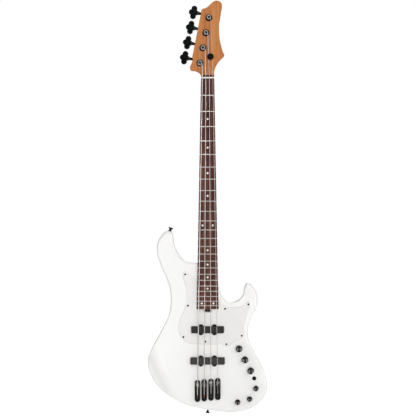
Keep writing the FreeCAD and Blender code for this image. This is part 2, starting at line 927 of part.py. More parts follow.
def key_plan():
    reach = worm_offset
    lobes = [vec(-key_reach, 0, reach + key_lobe_offset), vec(-key_reach, 0, reach - key_lobe_offset),
             vec(-key_reach - key_end_offset, 0, reach)]
    front = key_y - key_thickness / 2
    back = key_y + key_thickness / 2
    discs = [rod(key_lobe_radius, vec(p.x, front, p.z), vec(p.x, back, p.z)) for p in lobes]
    waist = rod(key_waist_radius, vec(-key_reach, front, reach), vec(-key_reach, back, reach))
    return waist.fuse(discs).removeSplitter()


def key_stem():
    # round where it leaves the headstock, wide and thin where it meets the leaf
    reach = key_reach - key_waist_radius / 2 - tuner_inset
    sections = []
    for along, wide, deep in key_stem_shares:
        centre = vec(-tuner_inset - along * reach, key_y, worm_offset)
        ring = []
        for number in range(stem_point_count):
            angle = 2 * math.pi * number / stem_point_count
            ring.append(centre + vec(0, key_neck_radius * deep * math.sin(angle),
                                     key_neck_radius * wide * math.cos(angle)))
        sections.append(Part.Wire(spline(ring).toShape()))
    return Part.makeLoft(sections, True, False)


def make_key():
    leaf = key_plan()
    rims = [e for e in leaf.Edges if abs(e.CenterOfMass.y - key_y) > key_thickness / 4]
    leaf = leaf.makeFillet(key_round, rims)
    centre = vec(0, key_y, worm_offset)
    inner = lug_inner + lug_thickness + lug_gap
    outer = lug_inner + lug_thickness
    profile = [vec(outer + lug_gap, key_y, worm_offset),
               vec(outer + lug_gap, key_y, worm_offset + key_shaft_radius),
               vec(-outer - tuner_fit, key_y, worm_offset + key_shaft_radius),
               vec(-outer - tuner_fit, key_y, worm_offset + key_collar_radius),
               vec(-inner - lug_thickness, key_y, worm_offset + key_collar_radius),
               vec(-tuner_inset, key_y, worm_offset + key_neck_radius),
               vec(-tuner_inset, key_y, worm_offset)]
    shaft = turned(profile, centre, X_AXIS)
    thread = make_worm()
    thread.Placement = FreeCAD.Placement(centre, FreeCAD.Rotation(Y_AXIS, 90)).multiply(thread.Placement)
    return leaf.fuse([key_stem(), shaft, thread]).removeSplitter()


def make_bushing():
    face = head_face - flange_height
    sleeve = rod(bushing_radius, vec(0, head_face, 0), vec(0, head_face + bushing_depth, 0))
    flange = rod(flange_radius, vec(0, face, 0), vec(0, head_face, 0))
    rims = [e for e in flange.Edges if abs(e.CenterOfMass.y - face) < flange_height / 4]
    flange = flange.makeFillet(post_round, rims)
    bore = rod(post_radius + tuner_fit, vec(0, face - overrun, 0),
               vec(0, head_face + bushing_depth + overrun, 0))
    return sleeve.fuse(flange).cut(bore).removeSplitter()


def plate_screw_places():
    x = plate_width / 2 - plate_screw_inset
    return [vec(side * x, 0, z) for side in (-1, 1)
            for z in (plate_screw_inset - plate_below, plate_above - plate_screw_inset)]


def make_tuner_plate():
    back = head_back + plate_thickness
    half_width = plate_width / 2
    plate = rounded_plate(-half_width, half_width, -plate_below, plate_above, head_back, back, plate_corner)
    lugs = []
    for side in (-1, 1):
        near = side * lug_inner
        far = side * (lug_inner + lug_thickness)
        lugs.append(box(min(near, far), max(near, far), back - plate_thickness / 2, key_y + lug_half,
                        worm_offset - key_shaft_radius - lug_gap, worm_offset + lug_half))
    half = lug_inner + lug_thickness + overrun
    cuts = [rod(key_shaft_radius + tuner_fit, vec(-half, key_y, worm_offset), vec(half, key_y, worm_offset)),
            rod(post_neck_radius + tuner_fit, vec(0, head_back - overrun, 0), vec(0, back + overrun, 0))]
    for place in plate_screw_places():
        cuts.append(rod(screw_radius, vec(place.x, head_back - overrun, place.z),
                        vec(place.x, back + overrun, place.z)))
    return plate.fuse(lugs).cut(cuts).removeSplitter()


def headstock_screw_rods():
    rods = []
    for index in range(string_count):
        for place in plate_screw_places():
            pin = rod(screw_radius, vec(place.x, head_back - screw_length + plate_thickness, place.z),
                      vec(place.x, head_back + overrun, place.z))
            rods.append(at_tuner(pin, index))
    centre = retainer_point()
    rods.append(rod(screw_radius, vec(centre.x, head_face - overrun, centre.z),
                    vec(centre.x, head_face + retainer_screw_length, centre.z)))
    return rods


def make_headstock_screws():
    pattern = screw(screw_head_radius, screw_head_height, screw_radius, screw_length)
    screws = []
    for index in range(string_count):
        for place in plate_screw_places():
            pin = placed(pattern, vec(place.x, head_back + plate_thickness, place.z), Y_AXIS * -1)
            pin.Placement = tuner_placement(index).multiply(pin.Placement)
            screws.append(pin)
    centre = retainer_point()
    top = -retainer_rise - retainer_thickness
    length = head_face + retainer_screw_length - top
    pattern = screw(screw_head_radius, screw_head_height, screw_radius, length)
    screws.append(placed(pattern, vec(centre.x, top, centre.z), Y_AXIS))
    return screws


# Strings and their retainer

def retainer_point():
    # midway between the two highest strings, on their way to the posts
    places = [run_x(index, retainer_along) for index in (string_count - 2, string_count - 1)]
    return vec(sum(places) / 2, 0, retainer_along)


def run_x(index, z):
    # place across of a string on its way from the nut to its post
    nut = nut_point(index)
    post = tuner_post(index)
    return nut.x + (post.x + winding_radius(index) - nut.x) * (z - nut.z) / (post.z - nut.z)


def make_retainer():
    centre = retainer_point()
    top = -retainer_rise - retainer_thickness
    disc = rod(retainer_radius, vec(centre.x, top, centre.z), vec(centre.x, -retainer_rise, centre.z))
    rims = [e for e in disc.Edges if abs(e.CenterOfMass.y - top) < retainer_thickness / 4]
    disc = disc.makeFillet(post_round, rims)
    seat = vec(centre.x, head_face, centre.z)
    foot = rod(retainer_post_radius, vec(centre.x, -retainer_rise, centre.z), seat)
    hole = rod(screw_radius, vec(centre.x, top - overrun, centre.z), seat + Y_AXIS * overrun)
    return disc.fuse(foot).cut(hole).removeSplitter()


def winding_radius(index):
    return post_waist_radius + string_gap + string_diameters[index] / 2


def winding_knots(index, before):
    # points and directions a quarter turn apart, from the place where the string meets its post
    post = tuner_post(index)
    radius = winding_radius(index)
    pitch = string_diameters[index] + winding_gap
    dx = post.x - before.x
    dz = post.z - before.z
    span = math.hypot(dx, dz)
    turn = math.asin(radius / span)
    ux = (dx * math.cos(turn) + dz * math.sin(turn)) / span
    uz = (dz * math.cos(turn) - dx * math.sin(turn)) / span
    run = math.sqrt(span ** 2 - radius ** 2)
    start = math.atan2(before.z + uz * run - post.z, before.x + ux * run - post.x)
    top = head_face - winding_rise
    knots = []
    for number in range(winding_quarters + 1):
        angle = start + math.pi / 2 * number
        rise = pitch / (2 * math.pi * radius)
        point = vec(post.x + radius * math.cos(angle), top + pitch * number / 4,
                    post.z + radius * math.sin(angle))
        heading = vec(-math.sin(angle), rise, math.cos(angle)).normalize()
        knots.append((point, heading))
    first = knots[0][0]
    knots[0] = (first, (first - before).normalize())
    return knots


def least_gap(edges, diameter, apart):
    # closest approach of a winding to itself, on points more than half a turn apart
    points = []
    for edge in edges:
        points.extend(edge.discretize(9)[:-1])
    gap = min((a - b).Length for i, a in enumerate(points) for b in points[i + apart:])
    return gap - diameter


def string_points(index):
    # corners of the string's run: ball end, saddle, nut, both sides of the retainer, post
    ball = ball_point(index)
    points = [vec(ball.x, ball.y, ball.z + ball_radius), saddle_point(index), nut_point(index)]
    if index >= string_count - 2:
        reach = retainer_radius + string_setback
        y = string_gap + string_diameters[index] / 2 - retainer_rise
        for z in (retainer_along - reach, retainer_along + reach):
            points.append(vec(run_x(index, z), y, z))
    points.append(winding_knots(index, points[-1])[0][0])
    return points


def string_groove(index, corner, reach):
    # room of the string where it bends over the saddle or the nut
    points = string_points(index)
    middle = points[corner]
    before = middle + (points[corner - 1] - middle).normalize() * reach
    after = middle + (points[corner + 1] - middle).normalize() * reach
    edges = tangent_path([before, middle, after], [string_setback])
    return tube(edges, string_diameters[index] / 2 + string_gap)


def make_string(index):
    diameter = string_diameters[index]
    ball = ball_point(index)
    points = string_points(index)
    knots = winding_knots(index, points[-2])
    edges = tangent_path(points, [string_setback] * (len(points) - 2))
    turns = []
    for (p0, t0), (p1, t1) in zip(knots, knots[1:]):
        turns.extend(biarc(p0, t0, p1, t1))
    print("string", index, "least gap of its winding", round(least_gap(turns, diameter, 36), 2))
    string = tube(edges + turns, diameter / 2)
    half = ball_length / 2
    barrel = rod(ball_radius, vec(ball.x - half, ball.y, ball.z), vec(ball.x + half, ball.y, ball.z))
    return [string.cut(barrel), barrel]


# Body and pickguard

def slope_prism():
    # block whose front turns away beyond the crease, run along the crease
    low = body_point(crease_shares[1], 0)
    high = body_point(crease_shares[0], 0)
    along = (high - low).normalize()
    outward = along.cross(Y_AXIS).normalize()
    if outward.x > 0:
        outward = outward * -1
    start = low - along * body_length

    def at(across, depth):
        return start + outward * across + Y_AXIS * depth

    def on_arc(across, depth, radius, from_turn, to_turn):
        a = math.radians(from_turn)
        b = math.radians(to_turn)
        return (across + radius * (math.sin(b) - math.sin(a)), depth + radius * (math.cos(a) - math.cos(b)))

    middle_one = on_arc(0, 0, crease_radius, 0, crease_turn / 2)
    end_one = on_arc(0, 0, crease_radius, 0, crease_turn)
    last_turn = crease_turn + slope_turn
    middle_two = on_arc(*end_one, slope_radius, crease_turn, crease_turn + slope_turn / 2)
    end_two = on_arc(*end_one, slope_radius, crease_turn, last_turn)
    back = 2 * body_thickness
    edges = [Part.LineSegment(at(-2 * body_width, 0), at(0, 0)).toShape(),
             Part.Arc(at(0, 0), at(*middle_one), at(*end_one)).toShape(),
             Part.Arc(at(*end_one), at(*middle_two), at(*end_two)).toShape(),
             Part.LineSegment(at(*end_two), at(end_two[0], back)).toShape(),
             Part.LineSegment(at(end_two[0], back), at(-2 * body_width, back)).toShape(),
             Part.LineSegment(at(-2 * body_width, back), at(-2 * body_width, 0)).toShape()]
    return Part.Face(Part.Wire(edges)).extrude(along * (2 * body_length + (high - low).Length))


def body_blank():
    blank = prism(spline_wire(body_curve()), body_thickness)
    shaped = blank.common(slope_prism())
    rims = [e for e in shaped.Edges if on_rim(e)]
    shaped = shaped.makeFillet(body_round, rims)
    place = body_point(belly_share, body_thickness + belly_radius - belly_depth)
    return shaped.cut(Part.makeSphere(belly_radius, place))


def on_rim(edge):
    # edges that run round the outline, at the front or at the back
    curve = body_curve()
    for number in range(1, 4):
        place = edge.FirstParameter + (edge.LastParameter - edge.FirstParameter) * number / 4
        point = edge.valueAt(place)
        flat = vec(point.x, 0, point.z)
        if (curve.value(curve.parameter(flat)) - flat).Length > rim_slack:
            return False
        if abs(edge.tangentAt(place).y) > 0.9:
            return False
    return True


def neck_room(y0, y1, widen, top):
    # room for the heel and the wheel below it
    room = board_plan(y0, y1, widen)
    room = room.common(box(-body_width, body_width, y0, y1, board_bottom - widen, top))
    foot = board_width(board_bottom) / 2 + widen
    heel_floor = box(-foot, foot, y0, y1, board_bottom - widen, board_bottom + overrun)
    half = wheel_radius + wheel_room
    wheel = box(-half, half, y0, min(y1, truss_y + half),
                board_bottom - wheel_gap - wheel_thickness - 2 * wheel_room, board_bottom)
    return room.fuse([heel_floor, wheel])


def lip_top():
    # height where the pocket's treble wall, thinning towards the cutaway, is cut off square
    x = board_end_width / 2 + pocket_gap + pocket_lip
    line = Part.LineSegment(vec(x, 0, board_bottom), vec(x, 0, 0))
    return body_curve().toShape().distToShape(line.toShape())[1][0][0].z


def pickup_plan(index, widen, y0, y1):
    half = pickup_lengths[index] / 2 + widen
    across = pickup_width / 2 + widen
    z = pickup_z(index)
    bar = rounded_plate(-half, half, z - across, z + across, y0, y1, pickup_corner)
    return bar.fuse(pickup_ears(index, widen, y0, y1)).removeSplitter()


def pickup_ears(index, widen, y0, y1):
    ears = []
    z = pickup_z(index)
    reach = (ear_height - ear_width) / 2
    for side in (-1, 1):
        x = side * ear_spacing / 2
        ears.append(capsule(ear_width / 2 + widen, vec(x, 0, z - reach), vec(x, 0, z + reach), y0, y1))
    return ears


def lead_trunk(y0):
    # channel of both leads from the bridge pickup to the controls
    target = controls()[1]
    start = vec(pickup_lengths[1] / 3, y0, pickup_z(1) + lead_spacing / 2)
    return rod(lead_trunk_radius, start, vec(target.x - pot_radius, y0, target.z))


def make_body():
    body = body_blank()
    cuts = [neck_room(-overrun, pocket_depth, pocket_gap, 0),
            box(0, board_end_width, -overrun, pocket_depth, lip_top(), 0)]
    for index in range(len(pickup_shares)):
        cuts.append(pickup_plan(index, pickup_gap, -overrun, pickup_cavity_depth))
    places = controls()
    cuts.append(capsule_chain(cavity_radius, places, top_wall, body_thickness + overrun))
    cuts.append(capsule_chain(cavity_radius + cover_ledge, places, body_thickness - cover_thickness,
                              body_thickness + overrun))
    for number, place in enumerate(places):
        radius = pot_thread_radius + pot_hole_gap
        if number == len(large_knob_shares):
            radius = switch_thread_radius + pot_hole_gap
        cuts.append(rod(radius, place - Y_AXIS * overrun, place + Y_AXIS * (top_wall + overrun)))
    cuts.append(box_block(box_gap, body_thickness - box_depth))
    cuts.append(box_ears(box_gap, body_thickness - box_ear_thickness))
    cuts.append(rod(lead_channel_radius, vec(lead_along, lead_depth, pickup_z(0)),
                    vec(lead_along, lead_depth, pickup_z(1))))
    cuts.append(lead_trunk(lead_depth))
    centre = body_point(box_share, battery_lead_depth)
    cuts.append(rod(battery_channel_radius, centre, vec(places[3].x, battery_lead_depth, centre.z)))
    seat, outward = socket_seat()
    mouth = seat + outward * (socket_sink + socket_flange_radius)
    cuts.append(rod(socket_flange_radius + socket_seat_gap, seat, mouth))
    cuts.append(rod(socket_radius, seat - outward * (socket_length + overrun), seat))
    for share in (horn_button_share, tail_button_share):
        seat, outward = button_seat_point(share)
        cuts.append(rod(button_base_radius + button_seat_gap, seat, seat + outward * button_height))
        cuts.append(rod(button_bore, seat - outward * button_screw_length, seat))
    cuts.extend(plate_screw_rods())
    cuts.extend(rail_screw_rods())
    cuts.extend(pickup_screw_rods())
    cuts.extend(neck_screw_rods())
    return body.cut(cuts)


def make_pickguard():
    curve = spline([body_point(share, -guard_thickness) for share in guard_outline_shares])
    guard = prism(spline_wire(curve), guard_thickness)
    rims = [e for e in guard.Edges if abs(e.CenterOfMass.y + guard_thickness) < guard_bevel / 2]
    guard = guard.makeChamfer(guard_bevel, rims)
    cuts = [neck_room(-guard_thickness - overrun, overrun, guard_gap, 0),
            pickup_plan(0, pickup_gap, -guard_thickness - overrun, overrun)]
    for share in guard_screw_shares:
        place = body_point(share, 0)
        cuts.append(rod(screw_radius, place - Y_AXIS * (guard_thickness + overrun), place + Y_AXIS * overrun))
    return guard.cut(cuts)


# Small screws of the pickguard, the control cover and the battery box

def plate_screw_seats():
    seats = []
    for share in guard_screw_shares:
        seats.append((body_point(share, -guard_thickness), Y_AXIS))
    for place in cover_screw_places():
        seats.append((vec(place.x, body_thickness, place.z), Y_AXIS * -1))
    for place in box_screw_places():
        seats.append((vec(place.x, body_thickness, place.z), Y_AXIS * -1))
    return seats


def plate_screw_rods():
    return [rod(screw_radius, base, base + heading * screw_length) for base, heading in plate_screw_seats()]


def make_plate_screws():
    pattern = screw(plate_screw_head_radius, screw_head_height, screw_radius, screw_length)
    return [placed(pattern, base, heading) for base, heading in plate_screw_seats()]


# Pickups

def make_pickup_cover(index):
    top = -pickup_rise
    z = pickup_z(index)
    half = pickup_lengths[index] / 2
    across = pickup_width / 2
    bar = rounded_plate(-half, half, z - across, z + across, top, pickup_depth, pickup_corner)
    rims = [e for e in bar.Edges if abs(e.CenterOfMass.y - top) < pickup_round / 2]
    bar = bar.makeFillet(pickup_round, rims)
    ears = []
    for ear in pickup_ears(index, 0, top + pickup_ear_drop, pickup_depth):
        rims = [e for e in ear.Edges if abs(e.CenterOfMass.y - top - pickup_ear_drop) < pickup_round / 2]
        ears.append(ear.makeFillet(pickup_round, rims))
    inner = box(pickup_wall - half, half - pickup_wall, top + pickup_wall, pickup_depth + overrun,
                z - across + pickup_wall, z + across - pickup_wall)
    holes = []
    for place in ear_screw_places(index):
        holes.append(rod(screw_radius, place - Y_AXIS * (pickup_rise + overrun),
                         place + Y_AXIS * (pickup_depth + overrun)))
    return bar.fuse(ears).cut([inner] + holes).removeSplitter()


def ear_screw_places(index):
    z = pickup_z(index)
    return [vec(x * ear_spacing / 2, 0, z + end * ear_screw_offset) for x in (-1, 1) for end in (-1, 1)]


def pickup_screw_rods():
    rods = []
    for index in range(len(pickup_shares)):
        for place in ear_screw_places(index):
            bottom = pickup_cavity_depth + screw_length
            rods.append(rod(screw_radius, place, place + Y_AXIS * bottom))
    return rods


def make_pickup_screws():
    length = pickup_rise - pickup_ear_drop + pickup_cavity_depth + screw_length
    pattern = screw(screw_head_radius, screw_head_height, screw_radius, length)
    screws = []
    for index in range(len(pickup_shares)):
        for place in ear_screw_places(index):
            screws.append(placed(pattern, place - Y_AXIS * (pickup_rise - pickup_ear_drop), Y_AXIS))
    return screws


def pole_rods(index):
    rods = []
    z = pickup_z(index)
    share = (z - nut_thickness / 2) / (saddle_point(0).z - nut_thickness / 2)
    for number in range(string_count):
        a = string_place(number, nut_spread)
        x = a + (string_place(number, bridge_spread) - a) * share
        for side in (-1, 1):
            place = vec(x + side * pole_pair / 2, 0, z)
            tip = place + Y_AXIS * (pickup_wall - pickup_rise)
            rods.append(rod(pole_radius, tip, place + Y_AXIS * pickup_depth))
    return rods


def make_coil(index):
    z = pickup_z(index)
    half = pickup_lengths[index] / 2 - pickup_wall - coil_gap
    across = pickup_width / 2 - pickup_wall - coil_gap
    top = pickup_wall - pickup_rise
    coil = capsule(across, vec(across - half, 0, z), vec(half - across, 0, z), top, pickup_depth)
    return coil.cut(pole_rods(index))


# Bridge rails and saddles

def make_rail(index):
    x = string_place(index, bridge_spread)
    front = rail_front_z(index)
    rear = front - rail_length
    radius = rail_width / 2
    rail = capsule(radius, vec(x, 0, front - radius), vec(x, 0, rear + radius), -rail_height, 0)
    rims = [e for e in rail.Edges if abs(e.CenterOfMass.y + rail_height) < rail_round / 2]
    rail = rail.makeFillet(rail_round, rims)
    half = rail_channel / 2
    wall = rear + ball_room
    top = -rail_height - overrun
    cuts = [box(x - half, x + half, top, -rail_floor, wall + ball_wall, front - rail_nose),
            box(x - rail_mouth / 2, x + rail_mouth / 2, top, -rail_floor, wall, front + overrun),
            box(x - half + overrun, x + half - overrun, top, -rail_floor, rear + radius / 2, wall)]
    for place in rail_screw_places(index):
        cuts.append(rod(rail_screw_radius, place - Y_AXIS * (rail_floor + overrun), place + Y_AXIS * overrun))
    return rail.cut(cuts)


def rail_screw_places(index):
    x = string_place(index, bridge_spread)
    front = rail_front_z(index)
    return [vec(x, 0, front - rail_screw_back - number * rail_screw_spacing) for number in range(2)]


def rail_screw_rods():
    rods = []
    for index in range(string_count):
        for place in rail_screw_places(index):
            rods.append(rod(rail_screw_radius, place - Y_AXIS * overrun,
                            place + Y_AXIS * (rail_screw_length - rail_floor)))
    return rods


def make_rail_screws():
    pattern = screw(rail_screw_head, rail_screw_head_height, rail_screw_radius, rail_screw_length)
    screws = []
    for index in range(string_count):
        for place in rail_screw_places(index):
            screws.append(placed(pattern, place - Y_AXIS * rail_floor, Y_AXIS))
    return screws


def make_saddle(index):
    point = saddle_point(index)
    diameter = string_diameters[index]
    half = rail_channel / 2 - saddle_fit
    top = point.y - diameter * saddle_cover_share
    bottom = -rail_floor - saddle_lift
    front = point.z + saddle_front_length
    rear = point.z - saddle_rear_length
    profile = [vec(point.x - half, bottom, front), vec(point.x - half, top, front),
               vec(point.x - half, top, point.z), vec(point.x - half, top + saddle_drop, rear),
               vec(point.x - half, bottom, rear)]
    block = Part.Face(Part.makePolygon(profile + [profile[0]])).extrude(vec(2 * half, 0, 0))
    groove = diameter / 2 + string_gap
    cuts = [string_groove(index, 1, saddle_front_length + saddle_rear_length),
            box(point.x - groove, point.x + groove, top - overrun, point.y,
                point.z - string_setback, front + overrun)]
    screws = []
    for side in (-1, 1):
        place = vec(point.x + side * set_screw_spread / 2, 0, point.z - set_screw_back)
        foot = place - Y_AXIS * (rail_floor + set_screw_gap)
        screws.append(rod(set_screw_radius, vec(place.x, top + saddle_drop / 2, place.z), foot))
        cuts.append(rod(set_screw_radius, vec(place.x, top - overrun, place.z), foot))
    return [block.cut(cuts)] + screws


# Controls

def make_knob(place, radius, height):
    top = -knob_lift - height
    barrel = rod(radius, place - Y_AXIS * knob_lift, vec(place.x, top, place.z))
    rims = [e for e in barrel.Edges if abs(e.CenterOfMass.y - top) < knob_round / 2 and e.isClosed()]
    barrel = barrel.makeFillet(knob_round, rims)
    dish = Part.makeCone(radius * knob_dish_share, radius * knob_dish_share - knob_dish, knob_dish,
                         vec(place.x, top, place.z), Y_AXIS)
    room = rod(knob_room_radius, place, place - Y_AXIS * (knob_lift + knob_room_height))
    shaft_top = place - Y_AXIS * pot_shaft_top
    bore = rod(pot_shaft_radius, place, shaft_top)
    shaft = rod(pot_shaft_radius, shaft_top, place + Y_AXIS * (top_wall + pot_shaft_tail))
    return [barrel.cut([dish, room, bore]), shaft]


def make_pot(place):
    can = rod(pot_radius, place + Y_AXIS * top_wall, place + Y_AXIS * (top_wall + pot_height))
    thread = rod(pot_thread_radius, place - Y_AXIS * pot_nut_height, place + Y_AXIS * top_wall)
    bore = rod(pot_shaft_radius + shaft_fit, place - Y_AXIS * (pot_nut_height + overrun),
               place + Y_AXIS * (top_wall + pot_shaft_tail + shaft_fit))
    return can.fuse(thread).cut(bore)


def make_pot_nut(place, radius, height, bore):
    points = []
    for number in range(6):
        angle = math.pi * number / 3
        points.append(vec(place.x + radius * math.cos(angle), -height, place.z + radius * math.sin(angle)))
    nut = prism(Part.makePolygon(points + [points[0]]), height)
    return nut.cut(rod(bore, place - Y_AXIS * (height + overrun), place + Y_AXIS * overrun))


def make_switch(place):
    can = box(place.x - switch_width / 2, place.x + switch_width / 2, top_wall, top_wall + switch_height,
              place.z - switch_length / 2, place.z + switch_length / 2)
    thread = rod(switch_thread_radius, place - Y_AXIS * switch_nut_height, place + Y_AXIS * top_wall)
    bore = rod(switch_bore, place - Y_AXIS * (switch_nut_height + overrun), place + Y_AXIS * top_wall)
    return can.fuse(thread).cut([bore, lever_pin(place, lever_ball_fit)])


def lever_pin(place, widen):
    # cross pin on which the lever tips, its ends in the wall of the bush
    reach = X_AXIS * (switch_bore + lever_pin_reach + widen)
    return rod(lever_pin_radius + widen, place - reach, place + reach)


def make_switch_ring(place):
    ring = rod(switch_nut_radius, place - Y_AXIS * switch_nut_height, place)
    rims = [e for e in ring.Edges if abs(e.CenterOfMass.y + switch_nut_height) < knob_dish / 2]
    ring = ring.makeFillet(knob_dish, rims)
    top = place - Y_AXIS * (switch_nut_height + overrun)
    return ring.cut(rod(switch_thread_radius, top, place + Y_AXIS * overrun))


def make_lever(place):
    ball = Part.makeSphere(switch_bore - lever_ball_fit, place)
    tip = place - Y_AXIS * lever_length
    stem = Part.makeCone(lever_neck_radius, lever_tip_radius, lever_length, place, Y_AXIS * -1)
    return ball.fuse([stem, Part.makeSphere(lever_tip_radius, tip), lever_pin(place, 0)]).removeSplitter()


def make_control_cover():
    places = controls()
    cover = capsule_chain(cavity_radius + cover_ledge - cover_gap, places, body_thickness - cover_thickness,
                          body_thickness)
    holes = [rod(screw_radius, vec(p.x, body_thickness - cover_thickness - overrun, p.z),
                 vec(p.x, body_thickness + overrun, p.z)) for p in cover_screw_places()]
    return cover.cut(holes)


def cover_screw_places():
    places = controls()
    reach = cavity_radius + cover_ledge / 2
    ends = [places[0] + (places[0] - places[1]).normalize() * reach,
            places[-1] + (places[-1] - places[-2]).normalize() * reach]
    middle = places[len(places) // 2]
    along = (places[len(places) // 2 + 1] - places[len(places) // 2 - 1]).normalize()
    side = along.cross(Y_AXIS)
    return ends + [middle + side * reach, middle - side * reach]


def make_preamp_board():
    places = controls()[-len(small_knob_shares):]
    back = top_wall + pot_height
    return capsule_chain(board_pad_radius, places, back, back + board_pad_thickness)


# Battery box

def box_block(widen, front):
    centre = body_point(box_share, 0)
    half_x = box_width / 2 + widen
    half_z = box_length / 2 + widen
    return box(centre.x - half_x, centre.x + half_x, front - widen, body_thickness + overrun,
               centre.z - half_z, centre.z + half_z)


def box_ears(widen, front):
    centre = body_point(box_share, 0)
    reach = (box_length + box_ear) / 2
    return capsule(box_ear + widen, vec(centre.x, 0, centre.z - reach), vec(centre.x, 0, centre.z + reach),
                   front - widen, body_thickness + overrun)


def box_screw_places():
    centre = body_point(box_share, 0)
    reach = (box_length + box_ear) / 2 + box_ear / 4
    return [centre + Z_AXIS * reach, centre - Z_AXIS * reach]


def lid_edges():
    centre = body_point(box_share, 0)
    half_x = box_width / 2 - box_wall - lid_gap
    half_z = box_length / 2 - box_wall - lid_gap
    return centre, half_x, half_z


def hinge_centre():
    centre, half_x, half_z = lid_edges()
    return vec(centre.x, body_thickness - lid_thickness / 2, centre.z + half_z - lid_thickness / 2)


def make_battery_box():
    centre = body_point(box_share, 0)
    front = body_thickness - box_depth
    flush = box(-body_width, body_width, 0, body_thickness, saddle_line - body_length, 0)
    shell = box_block(0, front).fuse(box_ears(0, body_thickness - box_ear_thickness)).common(flush)
    half_x = box_width / 2 - box_wall
    half_z = box_length / 2 - box_wall
    inner = box(centre.x - half_x, centre.x + half_x, front + box_wall, body_thickness + overrun,
                centre.z - half_z, centre.z + half_z)
    pin = hinge_centre()
    reach = half_x + hinge_length + hinge_fit
    cuts = [inner, rod(hinge_radius + hinge_fit, pin - X_AXIS * reach, pin + X_AXIS * reach)]
    for place in box_screw_places():
        back = vec(place.x, body_thickness + overrun, place.z)
        cuts.append(rod(screw_radius, vec(place.x, front, place.z), back))
    return shell.cut(cuts)


def make_battery_lid():
    centre, half_x, half_z = lid_edges()
    pin = hinge_centre()
    half = lid_thickness / 2
    plate = box(centre.x - half_x, centre.x + half_x, body_thickness - lid_thickness, body_thickness,
                centre.z - half_z, pin.z)
    barrel = rod(half, vec(centre.x - half_x, pin.y, pin.z), vec(centre.x + half_x, pin.y, pin.z))
    reach = half_x + lid_gap + hinge_length
    axle = rod(hinge_radius, pin - X_AXIS * reach, pin + X_AXIS * reach)
    return plate.fuse([barrel, axle]).removeSplitter()


def make_battery():
    centre = body_point(box_share, 0)
    front = body_thickness - box_depth + box_wall
    half_x = battery_width / 2
    half_z = battery_length / 2
    return rounded_plate(centre.x - half_x, centre.x + half_x, centre.z - half_z, centre.z + half_z,
                         front, front + battery_height, battery_corner)


# Neck plate

def neck_plate_centre():
    return vec(0, body_thickness, board_bottom + neck_plate_along)


def neck_screw_places():
    centre = neck_plate_centre()
    x = neck_plate_width / 2 - neck_screw_inset
    z = neck_plate_length / 2 - neck_screw_inset
    return [centre + vec(x * i, 0, z * j) for i in (-1, 1) for j in (-1, 1)]


def make_neck_plate():
    centre = neck_plate_centre()
    half_x = neck_plate_width / 2
    half_z = neck_plate_length / 2
    back = body_thickness + neck_plate_thickness
    plate = rounded_plate(centre.x - half_x, centre.x + half_x, centre.z - half_z, centre.z + half_z,
                          body_thickness, back, neck_plate_corner)
    holes = [rod(neck_screw_radius, p - Y_AXIS * overrun, p + Y_AXIS * (neck_plate_thickness + overrun))
             for p in neck_screw_places()]
    return plate.cut(holes)


def neck_screw_rods():
    rods = []
    for place in neck_screw_places():
        top = place + Y_AXIS * neck_plate_thickness
        rods.append(rod(neck_screw_radius, top - Y_AXIS * neck_screw_length, top))
    return rods


def make_neck_screws():
    pattern = screw(neck_screw_head, neck_screw_head_height, neck_screw_radius, neck_screw_length)
    return [placed(pattern, p + Y_AXIS * neck_plate_thickness, Y_AXIS * -1) for p in neck_screw_places()]


# Output socket and strap buttons

def socket_seat():
    point, outward = edge_seat(socket_share)
    return point + Y_AXIS * socket_depth - outward * socket_sink, outward


def make_socket():
    seat, outward = socket_seat()
    flange = rod(socket_flange_radius, seat, seat + outward * socket_flange_height)
    rim_height = socket_flange_height - socket_round
    rims = [e for e in flange.Edges if (e.CenterOfMass - seat).dot(outward) > rim_height]
    flange = flange.makeFillet(socket_round, rims)
    barrel = rod(socket_radius, seat - outward * socket_length, seat)
    mouth = seat + outward * (socket_flange_height + overrun)
    bore = rod(socket_bore, seat + outward * (socket_flange_height - socket_bore_length), mouth)
    return barrel.fuse(flange).cut(bore).removeSplitter()


def button_seat_point(share):
    point, outward = edge_seat(share)
    return point + Y_AXIS * (body_thickness / 2) - outward * button_seat, outward


def make_button(share):
    seat, outward = button_seat_point(share)
    head = button_height - button_head_height
    points = [(button_bore, 0), (button_base_radius, 0), (button_base_radius, button_base_height),
              (button_waist_radius, button_base_height * 2), (button_waist_radius, head - button_base_height),
              (button_head_radius, head), (button_head_radius, button_height - button_round),
              (button_head_radius - button_round, button_height),
              (button_screw_head + button_round, button_height),
              (button_screw_head, button_height - button_screw_head_height),
              (button_bore, button_height - button_screw_head_height)]
    pattern = turned([vec(r, 0, h) for r, h in points], vec(0, 0, 0), Z_AXIS)
    return placed(pattern, seat, outward)


def make_button_screw(share):
    seat, outward = button_seat_point(share)
    length = button_height - button_screw_head_height + button_screw_length
    head_height = button_screw_head_height - recess_depth
    pattern = screw(button_screw_head - button_screw_gap, head_height, button_bore, length)
    return placed(pattern, seat + outward * (button_height - button_screw_head_height), outward * -1)


# Inner leads

